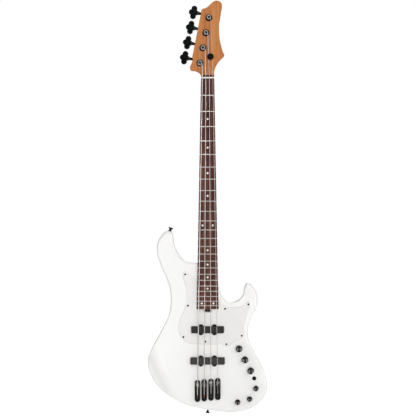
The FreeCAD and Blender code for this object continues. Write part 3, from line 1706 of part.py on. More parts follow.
def make_leads():
    places = controls()
    volume = places[1]
    near_x = lead_along + lead_reach
    near_z = pickup_z(1)
    offset = lead_spacing / 2
    end_x = volume.x - math.sqrt(pot_radius ** 2 - offset ** 2) - lead_radius - lead_end_gap
    leads = [lead([vec(lead_along, pickup_depth, pickup_z(0)), vec(lead_along, lead_depth, pickup_z(0)),
                   vec(lead_along, lead_depth, near_z + lead_spacing),
                   vec(end_x, lead_depth, volume.z + offset)]),
             lead([vec(near_x, pickup_depth, near_z), vec(near_x, lead_depth, near_z),
                   vec(end_x, lead_depth, volume.z - offset)])]
    pad = places[-len(small_knob_shares)]
    back = top_wall + pot_height + board_pad_thickness
    centre = body_point(box_share, battery_lead_depth)
    x = pad.x - lead_side
    leads.append(lead([vec(centre.x + box_width / 2, battery_lead_depth, centre.z),
                       vec(x, battery_lead_depth, centre.z), vec(x, battery_lead_depth, pad.z + lead_side),
                       vec(x, back, pad.z + lead_side)]))
    seat, outward = socket_seat()
    tail = seat - outward * socket_length
    bend = tail - outward * lead_reach
    leads.append(lead([tail, bend, vec(bend.x, back, bend.z)]))
    return leads


def main():
    os.makedirs("parts", exist_ok=True)
    names = ("e", "a", "d", "g")
    save("body", [make_body()])
    save("pickguard", [make_pickguard()])
    save("plate_screws", make_plate_screws())
    save("neck", [make_neck()])
    save("fretboard", [make_fretboard()])
    save("frets", make_frets())
    save("position_dots", make_dots())
    save("nut", [make_nut()])
    save("truss_rod", [make_truss_rod()])
    save("truss_wheel", [make_truss_wheel()])
    save("neck_plate", [make_neck_plate()])
    save("neck_screws", make_neck_screws())
    save("string_retainer", [make_retainer()])
    save("headstock_screws", make_headstock_screws())
    post = make_post()
    gear = make_gear()
    key = make_key()
    plate = make_tuner_plate()
    bushing = make_bushing()
    for index, name in enumerate(names):
        save("tuner_post_" + name, [at_tuner(post, index)])
        save("tuner_gear_" + name, [at_tuner(gear, index)])
        save("tuner_key_" + name, [at_tuner(key, index)])
        save("string_" + name, make_string(index))
        save("saddle_" + name, make_saddle(index))
    save("tuner_plates", [at_tuner(plate, index) for index in range(string_count)])
    save("tuner_bushings", [at_tuner(bushing, index) for index in range(string_count)])
    save("bridge_rails", [make_rail(index) for index in range(string_count)])
    save("rail_screws", make_rail_screws())
    for index, name in enumerate(("neck", "bridge")):
        save(name + "_pickup_cover", [make_pickup_cover(index)])
    cores = []
    for index in range(len(pickup_shares)):
        cores.append(make_coil(index))
        cores.extend(pole_rods(index))
    save("pickup_cores", cores)
    save("pickup_screws", make_pickup_screws())
    places = controls()
    switch = places.pop(len(large_knob_shares))
    for number, place in enumerate(places):
        large = number < len(large_knob_shares)
        if large:
            save("large_knob_" + str(number + 1), make_knob(place, large_knob_radius, large_knob_height))
        else:
            order = number - len(large_knob_shares) + 1
            save("small_knob_" + str(order), make_knob(place, small_knob_radius, small_knob_height))
    save("pots", [make_pot(place) for place in places])
    nuts = [make_pot_nut(place, pot_nut_radius, pot_nut_height, pot_thread_radius) for place in places]
    save("pot_nuts", nuts + [make_switch_ring(switch)])
    save("mode_switch", [make_switch(switch)])
    save("switch_lever", [make_lever(switch)])
    save("control_cover", [make_control_cover()])
    save("preamp_board", [make_preamp_board()])
    save("battery_box", [make_battery_box()])
    save("battery_lid", [make_battery_lid()])
    save("battery", [make_battery()])
    save("output_socket", [make_socket()])
    buttons = (horn_button_share, tail_button_share)
    button_screws = [make_button_screw(share) for share in buttons]
    save("strap_buttons", [make_button(share) for share in buttons] + button_screws)
    save("inner_leads", make_leads())


if __name__ == "__main__":
    main()
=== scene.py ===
import json
import math

import bpy
import numpy as np
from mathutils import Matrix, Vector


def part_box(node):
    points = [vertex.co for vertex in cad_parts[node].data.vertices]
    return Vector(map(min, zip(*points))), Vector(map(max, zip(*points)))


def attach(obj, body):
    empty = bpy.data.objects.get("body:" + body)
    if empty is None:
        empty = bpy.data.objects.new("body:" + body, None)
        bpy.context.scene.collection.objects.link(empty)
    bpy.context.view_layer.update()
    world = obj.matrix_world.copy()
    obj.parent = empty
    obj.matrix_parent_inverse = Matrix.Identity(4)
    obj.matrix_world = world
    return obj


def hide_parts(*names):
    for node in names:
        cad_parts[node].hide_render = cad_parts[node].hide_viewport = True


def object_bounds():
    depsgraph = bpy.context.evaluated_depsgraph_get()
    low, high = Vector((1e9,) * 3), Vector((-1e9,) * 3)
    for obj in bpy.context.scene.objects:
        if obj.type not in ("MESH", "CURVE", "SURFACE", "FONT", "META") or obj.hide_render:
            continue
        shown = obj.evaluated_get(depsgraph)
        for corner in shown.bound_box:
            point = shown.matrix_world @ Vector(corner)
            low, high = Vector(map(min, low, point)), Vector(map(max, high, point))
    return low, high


# Dress of a four-string electric bass: lacquered body, roasted neck, black hardware.
# Lengths are written in millimetres and turned to metres by MM.

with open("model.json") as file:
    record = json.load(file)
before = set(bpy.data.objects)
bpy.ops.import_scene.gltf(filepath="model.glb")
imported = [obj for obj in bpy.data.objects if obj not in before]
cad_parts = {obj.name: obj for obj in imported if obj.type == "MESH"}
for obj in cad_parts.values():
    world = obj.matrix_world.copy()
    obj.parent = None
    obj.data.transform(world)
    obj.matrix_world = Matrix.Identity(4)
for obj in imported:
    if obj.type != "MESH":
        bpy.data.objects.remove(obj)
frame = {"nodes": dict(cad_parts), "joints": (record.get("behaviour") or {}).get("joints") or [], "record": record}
cad_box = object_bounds()
nodes = frame["nodes"]
MM = 0.001
joint_places = {joint["child"]: np.array(joint.get("pos_m", (0, 0, 0))) / MM for joint in frame["joints"]}

# Strings, low to high, and what they run over
string_names = ("e", "a", "d", "g")
string_diameters = (2.67, 2.16, 1.65, 1.14)
retained_strings = (2, 3)
scale_length = 863.6
board_radius = 305.0
board_rise = 10.0
nut_spread = 30.0
nut_rise = 1.7
nut_middle = 1.7
bridge_spread = 57.8
saddle_rise = 5.1
saddle_back = 12.0
rail_front = 3.1
rail_step = 1.8
ball_rise = 5.6
ball_back = 53.35
ball_radius = 3.0
retainer_along = 62.0
retainer_half = 11.8
retainer_rise = 7.9
bend_setback = 2.5

# Their turns on the posts
post_radius = 4.7
winding_turns = 2.25
winding_gap = 0.55
winding_top = 9.8
steps_per_turn = 60

# Knobs
knob_lift = 0.6
shaft_room = 5.6
lip_share = 0.82
dish_share = 1 / 6
groove_depth = 0.45
large_knob_grooves = 36
small_knob_grooves = 30


def linear(colour):
    """Turns an sRGB hex value into linear RGBA."""
    value = np.array([int(colour[i:i + 2], 16) for i in (1, 3, 5)]) / 255
    rgb = np.where(value <= 0.04045, value / 12.92, ((value + 0.055) / 1.055) ** 2.4)
    return (*rgb, 1.0)


def link(tree, node, inputs):
    """Sets a node's inputs; each is a hex colour, one number or three, or another node's output."""
    for name, value in inputs.items():
        if isinstance(value, bpy.types.NodeSocket):
            tree.links.new(value, node.inputs[name])
        else:
            node.inputs[name].default_value = linear(value) if isinstance(value, str) else value


def add(tree, kind, inputs=None, out=0, **settings):
    """Adds one shader node with its settings and inputs, and gives back one of its outputs. The numbered
    inputs of a Map Range are the value, the range it comes from and the range it goes to; those of a Mix
    are the second colour's share and, as 6 and 7, both colours."""
    node = tree.nodes.new(kind)
    for name, value in settings.items():
        setattr(node, name, value)
    link(tree, node, inputs or {})
    return node.outputs[out]


def cells(size):
    """Texture scale at which a pattern's cells have the given size, or sizes along X, Y and Z, in mm."""
    return 1 / (np.array(size) * MM)


def blank(name):
    """Starts a material: its node tree and its surface shader."""
    material = bpy.data.materials.new(name)
    material.use_nodes = True
    tree = material.node_tree
    return material, tree, tree.nodes["Principled BSDF"]


def tilt(tree):
    """How far a face turns from front or back, 1 - |y| of its direction: 0 when flat, 1 on the sides."""
    facing = add(tree, "ShaderNodeTexCoord", out="Normal")
    axis = add(tree, "ShaderNodeSeparateXYZ", {0: facing}, 1)
    flat = add(tree, "ShaderNodeMath", {0: axis}, operation="ABSOLUTE")
    return add(tree, "ShaderNodeMath", {0: 1.0, 1: flat}, operation="SUBTRACT")


# Finishes

def satin_lacquer():
    # Polyurethane lacquer sprayed on a solid wood body and rubbed to satin: an even warm white whose
    # faint orange peel, cells about 2 mm wide, softens every highlight. Buffing leaves the start of the
    # rounded edge glossier than the flat; a painted highlight makes it brighter too, and painted shade
    # makes the walls a little greyer.
    material, tree, shader = blank("satin_white_lacquer")
    spot = add(tree, "ShaderNodeTexCoord", out="Object")
    cloud = add(tree, "ShaderNodeTexNoise", {"Vector": spot, "Scale": cells(111.1), "Detail": 3.0})
    tone = add(tree, "ShaderNodeMix", {0: cloud, 6: "#ECEBE9", 7: "#F0F0EE"}, 2, data_type="RGBA")
    turned = tilt(tree)
    # Painted highlight: a brighter band where the rounded edge begins.
    start = add(tree, "ShaderNodeMapRange", {0: turned, 1: 0.045, 2: 0.07})
    end = add(tree, "ShaderNodeMapRange", {0: turned, 1: 0.14, 2: 0.24, 3: 1.0, 4: 0.0})
    painted_highlight_band = add(tree, "ShaderNodeMath", {0: start, 1: end}, operation="MULTIPLY")
    painted_rim = add(tree, "ShaderNodeMix", {0: painted_highlight_band, 6: tone, 7: "#FFFFFD"}, 2, data_type="RGBA")
    # Painted shade: the walls, turned to the sides, get a slightly greyer tone.
    wall = add(tree, "ShaderNodeMapRange", {0: turned, 1: 0.14, 2: 0.4})
    colour = add(tree, "ShaderNodeMix", {0: wall, 6: painted_rim, 7: "#EDEDEA"}, 2, data_type="RGBA")
    rubbed = add(tree, "ShaderNodeTexNoise", {"Vector": spot, "Scale": cells(28.57), "Detail": 4.0})
    satin = add(tree, "ShaderNodeMapRange", {0: rubbed, 3: 0.32, 4: 0.42})
    rough = add(tree, "ShaderNodeMath", {0: painted_highlight_band, 1: -0.1, 2: satin}, operation="MULTIPLY_ADD")
    peel = add(tree, "ShaderNodeTexNoise", {"Vector": spot, "Scale": cells(2), "Detail": 1.0})
    bump = add(tree, "ShaderNodeBump", {"Height": peel, "Strength": 0.04, "Distance": 0.4 * MM})
    link(tree, shader, {"Base Color": colour, "Roughness": rough, "Normal": bump,
                        "Specular IOR Level": 0.22})
    return material


def pressed_sheet():
    # Three-ply vinyl sheet with a milled bevel: a slightly greyer white than the lacquer, a darker middle
    # ply showing as a faint line in the bevel, which is painted paler as painted light, and a pressed
    # surface with waves about 8 mm wide.
    material, tree, shader = blank("three_ply_vinyl")
    spot = add(tree, "ShaderNodeTexCoord", out="Object")
    depth = add(tree, "ShaderNodeSeparateXYZ", {0: spot}, 1)
    ply = add(tree, "ShaderNodeMath", {0: depth, 1: -1.15 * MM, 2: 0.35 * MM}, operation="COMPARE")
    cloud = add(tree, "ShaderNodeTexNoise", {"Vector": spot, "Scale": cells(41.67), "Detail": 2.0})
    tone = add(tree, "ShaderNodeMix", {0: cloud, 6: "#DAD9D7", 7: "#DFDEDC"}, 2, data_type="RGBA")
    # Painted light: the bevel, turned towards the sides, is painted paler.
    bevel_light_mask = add(tree, "ShaderNodeMapRange", {0: tilt(tree), 1: 0.1, 2: 0.6})
    bevel_painted_light = add(tree, "ShaderNodeMix", {0: bevel_light_mask, 6: tone, 7: "#F4F4F2"}, 2, data_type="RGBA")
    colour = add(tree, "ShaderNodeMix", {0: ply, 6: bevel_painted_light, 7: "#DCDBD9"}, 2, data_type="RGBA")
    wave = add(tree, "ShaderNodeTexNoise", {"Vector": spot, "Scale": cells(8.333), "Detail": 2.0})
    rough = add(tree, "ShaderNodeMapRange", {0: wave, 3: 0.3, 4: 0.44})
    bump = add(tree, "ShaderNodeBump", {"Height": wave, "Strength": 0.05, "Distance": 0.4 * MM})
    link(tree, shader, {"Base Color": colour, "Roughness": rough, "Normal": bump,
                        "Specular IOR Level": 0.3})
    return material


def roasted_maple():
    # Heat-treated hard maple under thin oil: golden brown, annual rings as soft streaks 4 to 12 mm wide
    # along the neck, short dark pores, and painted shade, a deeper orange, on the rounded edges and sides.
    material, tree, shader = blank("roasted_maple")
    spot = add(tree, "ShaderNodeTexCoord", out="Object")
    wide = add(tree, "ShaderNodeMapping", {0: spot, "Scale": cells((9.091, 16.67, 333.3))})
    rings = add(tree, "ShaderNodeTexNoise",
                {"Vector": wide, "Scale": 1.0, "Detail": 3.0, "Roughness": 0.5, "Distortion": 0.4})
    year = add(tree, "ShaderNodeMapRange", {0: rings, 1: 0.22, 2: 0.78})
    tone = add(tree, "ShaderNodeMix", {0: year, 6: "#A95E27", 7: "#CE8747"}, 2, data_type="RGBA")
    fine = add(tree, "ShaderNodeMapping", {0: spot, "Scale": cells((1.4286, 1.4286, 62.5))})
    pores = add(tree, "ShaderNodeTexNoise", {"Vector": fine, "Scale": 1.0, "Detail": 2.0})
    deep = add(tree, "ShaderNodeMapRange", {0: pores, 1: 0.52, 2: 0.76, 4: 0.7})
    grain = add(tree, "ShaderNodeMix", {0: deep, 6: tone, 7: "#8C4F25"}, 2, data_type="RGBA")
    # Painted shade: faces turned towards the sides get a deeper, darker orange.
    shaded_edge_mask = add(tree, "ShaderNodeMapRange", {0: tilt(tree), 1: 0.02, 2: 0.5, 4: 0.85})
    colour = add(tree, "ShaderNodeMix", {0: shaded_edge_mask, 6: grain, 7: "#A5551C"}, 2, data_type="RGBA")
    rough = add(tree, "ShaderNodeMapRange", {0: pores, 3: 0.4, 4: 0.58})
    bump = add(tree, "ShaderNodeBump", {"Height": pores, "Strength": 0.08, "Distance": 0.3 * MM})
    link(tree, shader, {"Base Color": colour, "Roughness": rough, "Normal": bump,
                        "Specular IOR Level": 0.12})
    return material


def oiled_board():
    # Dark reddish tropical hardwood, planed and oiled: brown with lighter red streaks 3 to 8 mm wide
    # along the board and open pores as short black dashes.
    material, tree, shader = blank("oiled_dark_board")
    spot = add(tree, "ShaderNodeTexCoord", out="Object")
    wide = add(tree, "ShaderNodeMapping", {0: spot, "Scale": cells((4.348, 11.11, 200))})
    streaks = add(tree, "ShaderNodeTexNoise",
                  {"Vector": wide, "Scale": 1.0, "Detail": 3.0, "Distortion": 0.5})
    red = add(tree, "ShaderNodeMapRange", {0: streaks, 1: 0.4, 2: 0.6})
    tone = add(tree, "ShaderNodeMix", {0: red, 6: "#260F0A", 7: "#5E2E21"}, 2, data_type="RGBA")
    fine = add(tree, "ShaderNodeMapping", {0: spot, "Scale": cells((0.9091, 0.9091, 16.67))})
    pores = add(tree, "ShaderNodeTexNoise", {"Vector": fine, "Scale": 1.0, "Detail": 2.0})
    open_pore = add(tree, "ShaderNodeMapRange", {0: pores, 1: 0.55, 2: 0.66})
    colour = add(tree, "ShaderNodeMix", {0: open_pore, 6: tone, 7: "#1C0E0A"}, 2, data_type="RGBA")
    rough = add(tree, "ShaderNodeMapRange", {0: pores, 3: 0.45, 4: 0.64})
    bump = add(tree, "ShaderNodeBump", {"Height": open_pore, "Strength": 0.15, "Distance": 0.3 * MM},
               invert=True)
    link(tree, shader, {"Base Color": colour, "Roughness": rough, "Normal": bump,
                        "Specular IOR Level": 0.08})
    return material


def metal(name, dark, light, rough_low, rough_high, grit):
    # A cast or turned metal whose tint wanders in clouds about 11 mm wide, and its gloss with a grit of
    # the given size in millimetres.
    material, tree, shader = blank(name)
    spot = add(tree, "ShaderNodeTexCoord", out="Object")
    cloud = add(tree, "ShaderNodeTexNoise", {"Vector": spot, "Scale": cells(11.11), "Detail": 3.0})
    colour = add(tree, "ShaderNodeMix", {0: cloud, 6: dark, 7: light}, 2, data_type="RGBA")
    speck = add(tree, "ShaderNodeTexNoise", {"Vector": spot, "Scale": cells(grit), "Detail": 3.0})
    rough = add(tree, "ShaderNodeMapRange", {0: speck, 3: rough_low, 4: rough_high})
    bump = add(tree, "ShaderNodeBump", {"Height": speck, "Strength": 0.04, "Distance": 0.2 * MM})
    link(tree, shader, {"Base Color": colour, "Roughness": rough, "Normal": bump, "Metallic": 1.0})
    return material


def worn_plate():
    # Black plating on a steel saddle, rubbed thin by hand and string: soft patches about 6 mm wide let
    # the nickel under it show through, smoother than the plating around them.
    material, tree, shader = blank("worn_black_nickel")
    spot = add(tree, "ShaderNodeTexCoord", out="Object")
    patches = add(tree, "ShaderNodeTexNoise", {"Vector": spot, "Scale": cells(6.25), "Detail": 1.0})
    worn = add(tree, "ShaderNodeMapRange", {0: patches, 1: 0.35, 2: 0.7})
    colour = add(tree, "ShaderNodeMix", {0: worn, 6: "#1B1A19", 7: "#726E6A"}, 2, data_type="RGBA")
    rough = add(tree, "ShaderNodeMapRange", {0: worn, 3: 0.32, 4: 0.2})
    link(tree, shader, {"Base Color": colour, "Roughness": rough, "Metallic": 1.0})
    return material


def moulded(name, dark, light, rough_low, rough_high, grit, level=0.5, strength=0.1):
    # A moulded or polished piece that isn't metal: an even colour with a slight bloom in clouds about
    # 17 mm wide, and a grit of the given size in millimetres.
    material, tree, shader = blank(name)
    spot = add(tree, "ShaderNodeTexCoord", out="Object")
    cloud = add(tree, "ShaderNodeTexNoise", {"Vector": spot, "Scale": cells(16.67), "Detail": 3.0})
    colour = add(tree, "ShaderNodeMix", {0: cloud, 6: dark, 7: light}, 2, data_type="RGBA")
    speck = add(tree, "ShaderNodeTexNoise", {"Vector": spot, "Scale": cells(grit), "Detail": 2.0})
    rough = add(tree, "ShaderNodeMapRange", {0: speck, 3: rough_low, 4: rough_high})
    bump = add(tree, "ShaderNodeBump", {"Height": speck, "Strength": strength, "Distance": 0.2 * MM})
    link(tree, shader, {"Base Color": colour, "Roughness": rough, "Normal": bump,
                        "Specular IOR Level": level})
    return material


def pickup_shell(name, dark, light):
    # Charcoal ABS cover of a pickup, moulded: matt and slightly brown on top from handling, with painted
    # shade making the rounded rims and walls near black, and a grit of about half a millimetre.
    material, tree, shader = blank(name)
    spot = add(tree, "ShaderNodeTexCoord", out="Object")
    cloud = add(tree, "ShaderNodeTexNoise", {"Vector": spot, "Scale": cells(12.5), "Detail": 3.0})
    tone = add(tree, "ShaderNodeMix", {0: cloud, 6: dark, 7: light}, 2, data_type="RGBA")
    # Painted shade: rims and walls, turned away from the front, are painted near black.
    painted_rim = add(tree, "ShaderNodeMapRange", {0: tilt(tree), 1: 0.02, 2: 0.3})
    colour = add(tree, "ShaderNodeMix", {0: painted_rim, 6: tone, 7: "#0E0D0D"}, 2, data_type="RGBA")
    speck = add(tree, "ShaderNodeTexNoise", {"Vector": spot, "Scale": cells(0.5556), "Detail": 2.0})
    rough = add(tree, "ShaderNodeMapRange", {0: speck, 3: 0.5, 4: 0.66})
    bump = add(tree, "ShaderNodeBump", {"Height": speck, "Strength": 0.12, "Distance": 0.2 * MM})
    link(tree, shader, {"Base Color": colour, "Roughness": rough, "Normal": bump,
                        "Specular IOR Level": 0.06})
    return material


def post_with_painted_ring(name, centre):
    # Black-chromed tuner post with a painted highlight: a ring 2.7 mm wide round the hole in its top is
    # painted bright nickel grey where the rounded top catches the light, and everything else stays black.
    ring_radius = 4.95
    ring_half = 1.35
    top_height = -11.9
    material, tree, shader = blank(name)
    spot = add(tree, "ShaderNodeTexCoord", out="Object")
    shifted = add(tree, "ShaderNodeVectorMath", {0: spot, 1: tuple(centre * MM)}, operation="SUBTRACT")
    level = add(tree, "ShaderNodeVectorMath", {0: shifted, 1: (1.0, 0.0, 1.0)}, operation="MULTIPLY")
    away = add(tree, "ShaderNodeVectorMath", {0: level}, "Value", operation="LENGTH")
    ring = add(tree, "ShaderNodeMath", {0: away, 1: ring_radius * MM, 2: ring_half * MM},
               operation="COMPARE")
    height = add(tree, "ShaderNodeSeparateXYZ", {0: spot}, 1)
    top = add(tree, "ShaderNodeMath", {0: height, 1: top_height * MM}, operation="LESS_THAN")
    # Painted highlight: the ring on the post's top face.
    painted_ring_mask = add(tree, "ShaderNodeMath", {0: ring, 1: top}, operation="MULTIPLY")
    swirl = add(tree, "ShaderNodeTexNoise", {"Vector": spot, "Scale": cells(1.4286), "Detail": 3.0})
    black = add(tree, "ShaderNodeMix", {0: swirl, 6: "#070707", 7: "#101010"}, 2, data_type="RGBA")
    ring_highlight_tone = add(tree, "ShaderNodeMix", {0: swirl, 6: "#6C6A68", 7: "#8E8C8A"}, 2, data_type="RGBA")
    colour = add(tree, "ShaderNodeMix", {0: painted_ring_mask, 6: black, 7: ring_highlight_tone}, 2, data_type="RGBA")
    rough = add(tree, "ShaderNodeMapRange", {0: swirl, 3: 0.18, 4: 0.34})
    link(tree, shader, {"Base Color": colour, "Roughness": rough, "Metallic": 1.0})
    return material


def wound_steel():
    # Nickel-plated steel wire wound tightly round a core: pale silver with a warm cast, a bright line
    # along the string and faint turns whose grooves are painted darker as painted shade, drawn a little
    # coarser than they are.
    turn_pitch = 0.5
    material, tree, shader = blank("nickel_wound_wire")
    spot = add(tree, "ShaderNodeTexCoord", out="Object")
    wrap_map = add(tree, "ShaderNodeUVMap", uv_map="wrap")
    along = add(tree, "ShaderNodeSeparateXYZ", {0: wrap_map}, 1)
    phase = add(tree, "ShaderNodeMath", {0: along, 1: 2 * math.pi / (turn_pitch * MM)},
                operation="MULTIPLY")
    turns = add(tree, "ShaderNodeMath", {0: phase}, operation="SINE")
    # Painted shade: the grooves between the turns are darker.
    groove_shade = add(tree, "ShaderNodeMapRange", {0: turns, 1: -1.0, 2: 1.0, 3: 0.12, 4: 0.0})
    cloud = add(tree, "ShaderNodeTexNoise", {"Vector": spot, "Scale": cells(8.333), "Detail": 3.0})
    wire = add(tree, "ShaderNodeMix", {0: cloud, 6: "#A7A19D", 7: "#B3ADA9"}, 2, data_type="RGBA")
    colour = add(tree, "ShaderNodeMix", {0: groove_shade, 6: wire, 7: "#6E6763"}, 2, data_type="RGBA")
    rough = add(tree, "ShaderNodeMapRange", {0: cloud, 3: 0.5, 4: 0.6})
    link(tree, shader, {"Base Color": colour, "Roughness": rough, "Metallic": 0.3,
                        "Specular IOR Level": 0.15})
    return material


def thread(name, dark, light):
    # Silk thread whipped round the string's end: a matt colour with fine ridges, drawn coarser than they
    # are so that they show; painted shade darkens the hollows between them.
    ridge_pitch = 0.6
    material, tree, shader = blank(name)
    wrap_map = add(tree, "ShaderNodeUVMap", uv_map="wrap")
    along = add(tree, "ShaderNodeSeparateXYZ", {0: wrap_map}, 1)
    phase = add(tree, "ShaderNodeMath", {0: along, 1: 2 * math.pi / (ridge_pitch * MM)},
                operation="MULTIPLY")
    turns = add(tree, "ShaderNodeMath", {0: phase}, operation="SINE")
    ridge_and_painted_shade = add(tree, "ShaderNodeMapRange", {0: turns, 1: -1.0, 2: 1.0})
    # Painted shade: a darker colour in the hollows between the ridges, lighter on their crests.
    colour = add(tree, "ShaderNodeMix", {0: ridge_and_painted_shade, 6: dark, 7: light}, 2, data_type="RGBA")
    bump = add(tree, "ShaderNodeBump", {"Height": ridge_and_painted_shade, "Strength": 0.4, "Distance": 0.1 * MM})
    link(tree, shader, {"Base Color": colour, "Roughness": 0.7, "Normal": bump,
                        "Specular IOR Level": 0.2})
    return material


def spun_metal():
    # Black-anodised aluminium turned on a lathe: circular tool marks stretch the light into a bow tie
    # across the dished face, with rings of lighter and darker cut, drawn about a quarter of a millimetre
    # wide so that they show.
    rings_on_profile = 60.0
    material, tree, shader = blank("spun_black_anodised")
    wrap_map = add(tree, "ShaderNodeUVMap", uv_map="wrap")
    across = add(tree, "ShaderNodeSeparateXYZ", {0: wrap_map}, 1)
    rings = add(tree, "ShaderNodeTexNoise", {"W": across, "Scale": rings_on_profile, "Detail": 2.0},
                noise_dimensions="1D")
    colour = add(tree, "ShaderNodeMix", {0: rings, 6: "#141313", 7: "#272625"}, 2, data_type="RGBA")
    rough = add(tree, "ShaderNodeMapRange", {0: rings, 3: 0.08, 4: 0.14})
    lathe = add(tree, "ShaderNodeTangent", direction_type="UV_MAP", uv_map="wrap")
    link(tree, shader, {"Base Color": colour, "Roughness": rough, "Metallic": 1.0, "Tangent": lathe,
                        "Anisotropic": 0.35, "Anisotropic Rotation": 0.25})
    return material


lacquer = satin_lacquer()
vinyl = pressed_sheet()
maple = roasted_maple()
board = oiled_board()
wound_wire = wound_steel()
spun_black = spun_metal()
worn_nickel = worn_plate()
# The cover nearer the neck is the darker of the two.
neck_shell = pickup_shell("dark_charcoal_abs", "#1D1B1B", "#242222")
bridge_shell = pickup_shell("charcoal_abs", "#302D2D", "#393535")
# Drawn and polished nickel-silver wire: warm grey lines across the dark board.
fret_silver = metal("nickel_silver_wire", "#7C7773", "#928D89", 0.28, 0.42, 0.4)
# Castings and plates in black chrome: a dark, slightly hazy mirror.
black_chrome = metal("black_chromed_zinc", "#0D0D0D", "#161515", 0.2, 0.34, 0.5)
# Keys of polished zinc plated black: the darkest and glossiest pieces.
black_gloss = metal("black_plated_zinc", "#080909", "#101212", 0.16, 0.28, 0.5)
# Brushed steel of rod and potentiometers: light grey with a soft shine.
bare_steel = metal("brushed_steel", "#8F8F8E", "#A9A9A7", 0.3, 0.45, 0.4)
# Oiled steel of the ball ends: dark and brownish.
dark_steel = metal("oiled_dark_steel", "#2A2826", "#3B3835", 0.3, 0.45, 0.4)
# Black-oxide steel of screws, bushings and switch: dull and nearly black.
black_oxide = metal("black_oxide_steel", "#040404", "#090909", 0.35, 0.5, 0.4)
# Cut brass of the gears: yellow, hazy from the cutter.
brass = metal("cut_brass", "#A8803C", "#C79C52", 0.25, 0.42, 0.4)
# Polished bone of the nut: a smooth, warm white bar.
bone = moulded("polished_bone", "#E4E0D5", "#F3F1EA", 0.3, 0.42, 0.6, 0.5, 0.04)
# Pearl plastic of the dots: pale grey with a polished face.
pearl = moulded("pearl_plastic", "#C6C3BB", "#D6D3CB", 0.25, 0.35, 0.6, 0.5, 0.04)
# Moulded ABS of the back covers: black and matt.
black_shell = moulded("moulded_black_abs", "#111112", "#1A1A1B", 0.45, 0.6, 0.6, 0.15)
# Woven tape round the coils: a dull dark brown.
taped = moulded("cloth_tape", "#1E1B19", "#2B2724", 0.7, 0.85, 0.5, 0.2)
# Glass-fibre laminate of the circuit board: green under a thin varnish.
circuit = moulded("glass_fibre_laminate", "#123D22", "#1B5230", 0.4, 0.5, 0.8)
# Plain film shrunk round the battery: dark and fairly glossy.
wrapper = moulded("shrunk_film", "#26262A", "#33343A", 0.25, 0.4, 0.8)
# Rubber sleeve of the leads: black with a dull bloom.
rubber = moulded("rubber_sleeve", "#161616", "#242424", 0.5, 0.7, 0.4, 0.3)
red_thread = thread("red_silk_thread", "#8E2E0E", "#C9521F")
dull_thread = thread("faded_silk_thread", "#4E241B", "#7C4133")
black_thread = thread("black_silk_thread", "#121112", "#262425")

finish_of_slot = {
    "body_white": lacquer, "guard_white": vinyl, "roasted_maple": maple, "dark_board": board,
    "fret_metal": fret_silver, "string_steel": fret_silver, "white_inlay": bone, "steel": bare_steel,
    "black_metal": black_chrome, "gear_brass": brass, "black_plastic": black_shell, "coil_tape": taped,
    "circuit_green": circuit, "battery_case": wrapper, "lead_rubber": rubber}
finish_of_node = {
    "neck_pickup_cover": neck_shell, "bridge_pickup_cover": bridge_shell, "plate_screws": black_oxide,
    "pickup_screws": black_oxide, "mode_switch": black_oxide, "tuner_bushings": black_oxide,
    "position_dots": pearl}
for name in string_names:
    # Each post's top gets its painted highlight ring.
    post_painted_ring = post_with_painted_ring("black_chrome_painted_ring_" + name, joint_places["post_" + name])
    finish_of_node["tuner_post_" + name] = post_painted_ring
    finish_of_node["tuner_key_" + name] = black_gloss
    finish_of_node["saddle_" + name] = worn_nickel

for part in frame["record"]["subparts"]:
    piece = nodes[part["node"]]
    piece.data.materials.clear()
    piece.data.materials.append(finish_of_node.get(part["node"], finish_of_slot[part["material_slot"]]))


# New pieces: wound strings, their ball ends and thread sleeves, and the turned knobs

def unit(lines):
    """Each row divided by its own length."""
    return lines / np.linalg.norm(lines, axis=-1, keepdims=True)


def surface(name, grid, closed, finish, body, uv):
    """Mesh of a grid of points: quads between neighbours, closed around its rows and, where asked, from
    the last row to the first; otherwise the first and last rows get flat ends. Faces turn outward: the
    sum of the volumes under them is positive."""
    rows, columns = grid.shape[:2]
    row = np.arange(rows - (not closed))[:, None]
    column = np.arange(columns)[None, :]
    next_row = (row + 1) % rows
    next_column = (column + 1) % columns
    quads = np.stack([row * columns + column, row * columns + next_column,
                      next_row * columns + next_column, next_row * columns + column], -1).reshape(-1, 4)
    corner_u = np.stack([column, column + 1, column + 1, column], -1) + 0 * row[..., None]
    corner_v = np.stack([row, row, row + 1, row + 1], -1) + 0 * column[..., None]
    places = np.stack([uv[0][corner_u], uv[1][corner_v]], -1).reshape(-1, 4, 2)
    points = grid.reshape(-1, 3)
    first, second, third, fourth = (points[quads[:, i]] for i in range(4))
    volume = np.sum(np.cross(first, second) * third) + np.sum(np.cross(first, third) * fourth)
    side = 1 if volume > 0 else -1
    faces = quads[:, ::side].tolist()
    places = places[:, ::side].reshape(-1, 2)
    if not closed:
        faces.append(np.arange(columns)[::-side].tolist())
        faces.append((np.arange(columns) + (rows - 1) * columns)[::side].tolist())
        places = np.concatenate([places, np.zeros((2 * columns, 2))])
    mesh = bpy.data.meshes.new(name)
    mesh.from_pydata(points.tolist(), [], faces)
    layer = mesh.uv_layers.new(name="wrap")
    layer.data.foreach_set("uv", places.astype(np.float32).ravel())
    mesh.polygons.foreach_set("use_smooth", np.ones(len(faces), bool))
    mesh.set_sharp_from_angle(angle=math.radians(40))
    mesh.materials.append(finish)
    piece = bpy.data.objects.new(name, mesh)
    bpy.context.scene.collection.objects.link(piece)
    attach(piece, body)
    return piece


def tube_grid(path, radii, sides):
    """Circles of the given radii carried along the path, each square to it, measured from the Y axis."""
    ahead = unit(np.gradient(path, axis=0))
    across = unit(np.cross(ahead, (0.0, 1.0, 0.0)))
    upward = np.cross(across, ahead)
    turn = np.linspace(0, 2 * np.pi, sides, endpoint=False)[None, :, None]
    ring = np.cos(turn) * across[:, None] + np.sin(turn) * upward[:, None]
    return path[:, None] + np.asarray(radii)[:, None, None] * ring


